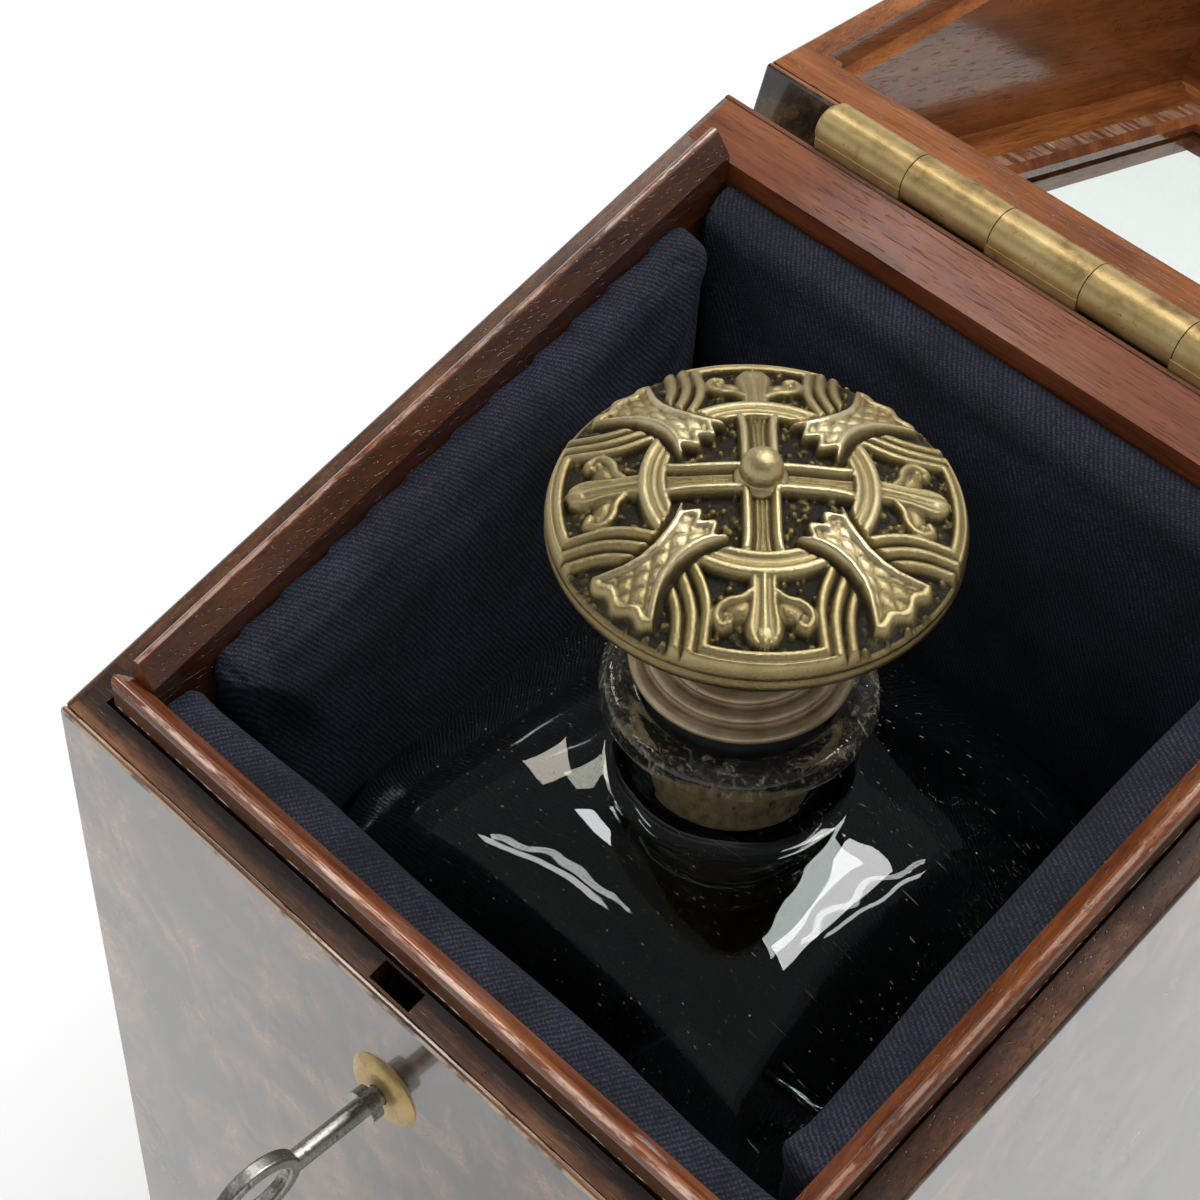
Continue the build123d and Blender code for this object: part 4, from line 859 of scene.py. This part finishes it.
def ornament(x, y):
    """Height of the cast ornament in millimetres over the plain dome. x runs across an arm of the
    cross and y outwards along it; the four quarters and their halves are alike."""
    a, b = np.minimum(abs(x), abs(y)), np.maximum(abs(x), abs(y))
    r, s, t = np.hypot(x, y), (a + b) / math.sqrt(2), (b - a) / math.sqrt(2)
    high = 0.95 * rubble(x, y)

    def lay(height):
        nonlocal high
        high = np.maximum(high, height)

    # reeds: three nested lines that spread at the ring, and turn along the rim at sharp corners
    for radius, sweep, half_width, rise, knots in REEDS:
        line = flowing(knots, 5)
        if sweep:
            turns = np.linspace(0, sweep, 9)
            line = np.vstack(([(radius * math.sin(i), radius * math.cos(i)) for i in turns], line))
        lay(rounded(reach(line, a, b), half_width, rise))
    # ring: two stout ridges with a fine one between them
    band = ledge(r - 12.5, 0.3) * ledge(16.5 - r, 0.3)
    ridges = sum(rounded(r - c, w, h) for c, w, h in
                 ((13.15, 0.72, 0.7), (14.4, 0.52, 0.5), (15.7, 0.85, 0.8)))
    lay(band * (1.15 + ridges))
    # cross: two round edges to each arm, with a sunk channel and fine beading between them
    spread = a - 0.22 * np.clip(b - 9.0, 0, 9) ** 2 * 0.12
    arm = ledge(2.75 - spread, 0.25) * ledge(12.7 - b, 0.25)
    lay(arm * (0.75 + rounded(spread - 2.0, 0.78, 1.35) + rounded(spread - 0.62, 0.3, 0.34)
               + rounded(spread, 0.22, 0.25)))
    lay(ledge(3.5 - r, 0.5) * 1.7)
    # palmette: ribbed stem that swells to a rounded tip
    half = np.interp(b, (16.0, 18.0, 20.0, 21.5, 23.0, 24.2, 25.3, 26.0),
                     (2.1, 2.0, 2.1, 2.4, 2.75, 2.6, 1.8, 0.0))
    crown = np.sqrt(np.clip(1 - (a / (half + 0.01)) ** 2, 0, 1))
    ribs = 0.5 + 0.5 * np.cos(2 * math.pi * a / np.maximum(half, 0.4) * 1.5)
    lay(ledge(half - a, 0.22) * ledge(b - 16.0) * (0.75 + 0.7 * crown + 0.38 * ribs))
    lay(1.1 + rounded(np.hypot(a, (b - 24.4) * 0.9), 1.3, 0.75) - 1.1 * (np.hypot(a, b - 24.4) > 1.3))
    # its side leaves: veined fans that droop into a curl, with a knob in each curl
    fan = 1 - np.hypot((a - 3.3) / 2.5, (b - 20.9) / 1.55)
    veins = 0.5 + 0.5 * np.cos(7.5 * np.arctan2(b - 18.2, a - 0.8))
    lay(ledge(fan, 0.2) * (0.65 + 0.6 * np.clip(fan, 0, 1) + 0.3 * veins))
    droop = flowing(((1.6, 18.3), (3.0, 19.3), (4.6, 19.6), (5.9, 20.5), (6.3, 21.8), (5.6, 23.0),
                     (4.6, 22.7)))
    lay(rounded(reach(droop, a, b), 0.85, 1.7))
    lay(rounded(np.hypot(a - 5.1, b - 21.7), 0.8, 1.6))
    # ribbon on the diagonal: stout rolled edges, scaled channel, over the ring at its waist
    half = np.interp(s, (9.6, 10.6, 12.0, 13.5, 15.5, 18.0, 20.5, 22.5, 24.5, 26.5, 28.8),
                     (4.7, 4.55, 3.85, 3.1, 2.55, 2.3, 2.6, 3.4, 4.7, 6.1, 7.3))
    start = 10.4 + 0.75 * np.cos(2 * math.pi * t / 2.9) + 0.05 * t * t
    finish = 27.3 + 0.45 * np.cos(2 * math.pi * t / 4.4) - 0.034 * t * t
    depth = np.minimum(np.minimum(half - t, (s - start) * 0.85), (finish - s) * 0.85)
    inside = ledge(depth + 0.15, 0.5)
    rolled = rounded(depth - 0.62, 0.72, 0.95)
    scales = np.abs(np.sin(math.pi * (s / 3.5 + t / 2.5)) * np.sin(math.pi * (s / 3.5 - t / 2.5)))
    arch = (1.25 + 0.55 * np.exp(-((s - 15.2) / 4.5) ** 2) - 0.55 * np.clip((s - 21) / 7, 0, 1)
            - 0.2 * np.clip((12.5 - s) / 2.5, 0, 1))
    channel = ledge(depth - 1.25, 0.4) * 0.5 * scales ** 0.4
    ribbon = inside * (arch + rolled + channel)
    # the ribbon throws a deep gap beside itself
    shadow = ledge(t - half, 0.3) * ledge(half + 0.95 - t, 0.5) * ledge(s - 11.5, 0.6)
    high = high * (1 - 0.8 * shadow)
    return np.where(inside > 0.35, ribbon, np.maximum(high, ribbon))


ARMS_TURNED = math.radians(45)
GRID = 276
BACK_EDGE = ((28.75, 3.6), (28.8, 2.9), (28.45, 2.55), (28.75, 2.2), (28.8, 1.4), (28.5, 0.6),
             (27.8, 0.1), (26.5, 0.0), (10.0, 0.0))         # radius, height over the underside


def swung(x, y, angle):
    """Places turned about the middle."""
    return x * math.cos(angle) - y * math.sin(angle), x * math.sin(angle) + y * math.cos(angle)


def medallion():
    """The cast disc: a fine round sheet pressed up into its ornament, with an edge and a back."""
    shape = bmesh.new()
    bmesh.ops.create_grid(shape, x_segments=GRID, y_segments=GRID, size=1.0)
    verts = shape.verts[:]
    flat = np.array([v.co[:2] for v in verts])
    a, b = flat[:, 0], flat[:, 1]
    r = np.maximum(abs(a), abs(b))
    with np.errstate(divide="ignore", invalid="ignore"):
        angle = np.where(abs(a) >= abs(b), math.pi / 4 * b / a, math.pi / 2 - math.pi / 4 * a / b)
    angle = np.where(r < 1e-9, 0, np.nan_to_num(angle))
    side = np.where(abs(a) >= abs(b), np.sign(a), np.sign(b))
    edge = DISC_RADIUS - DISC_ROUND * 0.35
    x, y = r * side * np.cos(angle) * edge, r * side * np.sin(angle) * edge
    radius = np.hypot(x, y)
    fade = np.clip((DISC_RADIUS + 0.2 - radius) / 0.9, 0, 1)
    plain = DISC_RADIUS - DISC_ROUND
    z = DISC_BOTTOM + dome(np.minimum(radius, plain)) + ornament(x, y) * fade
    z -= np.clip(radius - plain, 0, 9) ** 2 * 0.6
    for v, px, py, pz in zip(verts, *swung(x, y, ARMS_TURNED), z):
        v.co = (px * MM, py * MM, pz * MM)
    edges = [e for e in shape.edges if e.is_boundary]
    for radius_now, height in BACK_EDGE:
        grown = bmesh.ops.extrude_edge_only(shape, edges=edges)["geom"]
        edges = [g for g in grown if isinstance(g, bmesh.types.BMEdge) and g.is_boundary]
        for v in (g for g in grown if isinstance(g, bmesh.types.BMVert)):
            k = radius_now * MM / math.hypot(v.co.x, v.co.y)
            v.co = (v.co.x * k, v.co.y * k, (DISC_BOTTOM + height) * MM)
    bmesh.ops.contextual_create(shape, geom=edges)
    bmesh.ops.recalc_face_normals(shape, faces=shape.faces)
    made = put("stopper_medallion_cast", shape, "stopper_medallion", "stopper")
    co = np.array([v.co for v in made.data.vertices]) / MM
    x, y = swung(co[:, 0], co[:, 1], -ARMS_TURNED)
    high = ornament(x, y)
    near = sum(ornament(x + 0.5 * math.cos(k), y + 0.5 * math.sin(k))
               for k in np.linspace(0, 2 * math.pi, 7)[:-1]) / 6
    on_edge = co[:, 2] < DISC_BOTTOM + DISC_EDGE - 0.2
    # painted shade: the disc's edge gets a low rise, so its colour is darker
    stamp(made, np.where(on_edge, 0.36, np.clip(high / 2.6, 0, 1)),
          np.where(on_edge, 0, np.clip((near - high) / 0.55, 0, 1)))


def stamp(made, rise, hollow):
    """Marks how high and how hollow each point of a casting is, for its colour."""
    for name, values in (("rise", rise), ("hollow", hollow)):
        layer = made.data.attributes.new(name, "FLOAT", "POINT")
        layer.data.foreach_set("value", values.astype(np.float32))


def boss():
    """The ball, seated in a flat round collar where the arms meet."""
    centre, radius = 244.2, 3.0
    profile = [(0, 240.6), (3.7, 240.6), (3.7, 242.5), (3.5, 242.9), (3.05, 243.1)]
    profile += [*arc((0, centre), (radius, radius), -16, 90, 18)][:-1] + [(0, centre + radius)]
    made = put("stopper_boss_cast", turned(profile, 64), "stopper_boss", "stopper")
    count = len(made.data.vertices)
    stamp(made, np.full(count, 0.72), np.zeros(count))


def collar():
    """The turned collar: rings that step in and a waisted hub under the disc."""
    z, widest, step_in, pitch = COLLAR_FOOT, 16.5, 2.25, 1.5
    half_thick, half_high = 1.05, 0.85          # of one ring
    profile = [(3.0, z), (15.7, z)]
    for i in range(4):
        radius = widest - step_in * i
        profile += arc((radius - half_thick, z + half_high), (half_thick, half_high), -75, 135, 14)
        profile.append((radius - 2.05, z + 1.2))
        z += pitch
    profile += [(8.3, z + 0.2), (7.6, z + 3), (7.4, z + 8), (7.7, z + 14), (8.6, z + 17.5),
                (10.4, DISC_BOTTOM), (3.0, DISC_BOTTOM), (3.0, COLLAR_FOOT)]
    put("stopper_collar_turned", turned(profile), "stopper_collar", "stopper")


def seal_and_cork():
    """The moulded seal under the collar and the cork that it rests on, both bored for the stud."""
    bore = 2.6
    seal = [(bore, 205.9), (13.6, 205.9), *arc((13.6, 205.25), (0.65, 0.65), 90, 0, 4), (14.05, 203.6),
            (14.25, 202.6), (14.1, 199.8), (13.6, 199.25), (bore, 199.25), (bore, 205.9)]
    put("stopper_seal_moulded", turned(seal), "stopper_seal", "stopper")
    stick = [(bore, 199.2), (11.6, 199.2), (11.7, 198.6), (11.65, 190), (11.4, 183), (11.1, 181.8),
             (10.6, 181.3), (bore, 181.2), (bore, 199.2)]
    put("stopper_cork_cut", turned(stick, 96), "stopper_cork", "stopper")


# ---- the pieces ------------------------------------------
for side in ("front", "left", "right", "back"):
    eased(side + "_veneer", "box", 0.75 if side == "front" else 0.6)
for side in ("front", "left", "right", "back"):
    eased(f"lid_{side}_veneer", "lid", 0.6)
decanter()
medallion()
boss()
collar()
seal_and_cork()
lining()


# ---- floor, light and camera -----------------------------
def studio_floor():
    """A pale floor that keeps the shadow and looks white, also in polish and through glass."""
    shape = bmesh.new()
    bmesh.ops.create_circle(shape, cap_ends=True, segments=96, radius=6.0)
    floor = solid("floor", shape)
    finish = Finish("pale_floor", Roughness=0.9, Specular_IOR_Level=0.1, Emission_Strength=1.0)
    seen = finish.ray("Camera").most(finish.ray("Glossy"))
    glow = finish.mix(seen, (0, 0, 0, 1), (0.28, 0.28, 0.28, 1))
    glow = finish.mix(finish.ray("Transmission"), glow, (0.45, 0.45, 0.45, 1))
    floor.data.materials.append(finish.surface((236, 236, 236), Emission_Color=glow))


def surroundings():
    """A white room: bright towards the horizon, and dimmer overhead where polished things mirror it."""
    world = bpy.data.worlds.new("room")
    bpy.context.scene.world = world
    room = Layers(world)
    height = room.node("SeparateXYZ", {}, {0: room.node("TexCoord", out="Generated")}, out="Z")
    sky = room.ramp(height, (0.12, (1, 1, 1, 1)), (0.5, (0.12, 0.125, 0.13, 1)))
    lit, mirrored, seen = (room.node("Background", {}, {"Color": colour, "Strength": strength})
                           for colour, strength in (((0.97, 0.98, 1, 1), 0.42), (sky, 1.0),
                                                    ((1, 1, 1, 1), 1.0)))
    polished = room.ray("Glossy").most(room.ray("Transmission"))
    light = room.node("MixShader", {}, {0: polished, 1: lit, 2: mirrored})
    light = room.node("MixShader", {}, {0: room.ray("Camera"), 1: light, 2: seen})
    room.join(room.tree.nodes["World Output"].inputs["Surface"], light)


MEDALLION_AT = Vector((0, 0, 0.22))


def softbox(name, towards, distance, size, radiance, tint=(1, 1, 1), mirrored=True):
    """A soft lamp of size metres, seen from the medallion in the direction given."""
    lamp = bpy.data.lights.new(name, "AREA")
    lamp.shape = "RECTANGLE"
    lamp.size, lamp.size_y = size
    lamp.energy = radiance * math.pi * size[0] * size[1]
    lamp.color = tint
    made = placed(name, lamp)
    direction = Vector(towards).normalized()
    made.location = MEDALLION_AT + direction * distance
    made.rotation_euler = direction.to_track_quat("Z", "Y").to_euler()
    made.visible_glossy = made.visible_transmission = mirrored


studio_floor()
surroundings()
softbox("ceiling_softbox", (0.02, 0.41, 0.91), 1.0, (0.52, 0.32), 12.5)
softbox("side_window", (0.39, 0.48, 0.78), 1.0, (0.03, 0.26), 9.0)
softbox("left_strip", (-0.49, -0.40, 0.78), 1.0, (0.045, 0.30), 9.0)
softbox("left_lamp", (-0.42, 0.20, 0.845), 0.965, (0.10, 0.16), 14.0, (0.97, 0.98, 1))
softbox("warm_lamp", (-0.625, 0.25, 0.725), 0.965, (0.17, 0.11), 8.0, (1, 0.93, 0.80))
softbox("front_fill", (-0.18, -0.60, 0.78), 1.2, (0.16, 0.16), 9.0, mirrored=False)

scene = bpy.context.scene
scene.view_settings.view_transform = "Standard"
camera = placed("camera", bpy.data.cameras.new("camera"))
camera.data.sensor_width, camera.data.lens = 36.0, 81.1
camera.data.clip_start, camera.data.clip_end = 0.01, 50.0
camera.matrix_world = Matrix((
    (0.70220869, -0.54121533, 0.46258936, 0.16039),
    (0.71133711, 0.5059039, -0.48791471, -0.19925),
    (0.03004116, 0.67167493, 0.74023666, 0.49749),
    (0, 0, 0, 1)))
scene.camera = camera
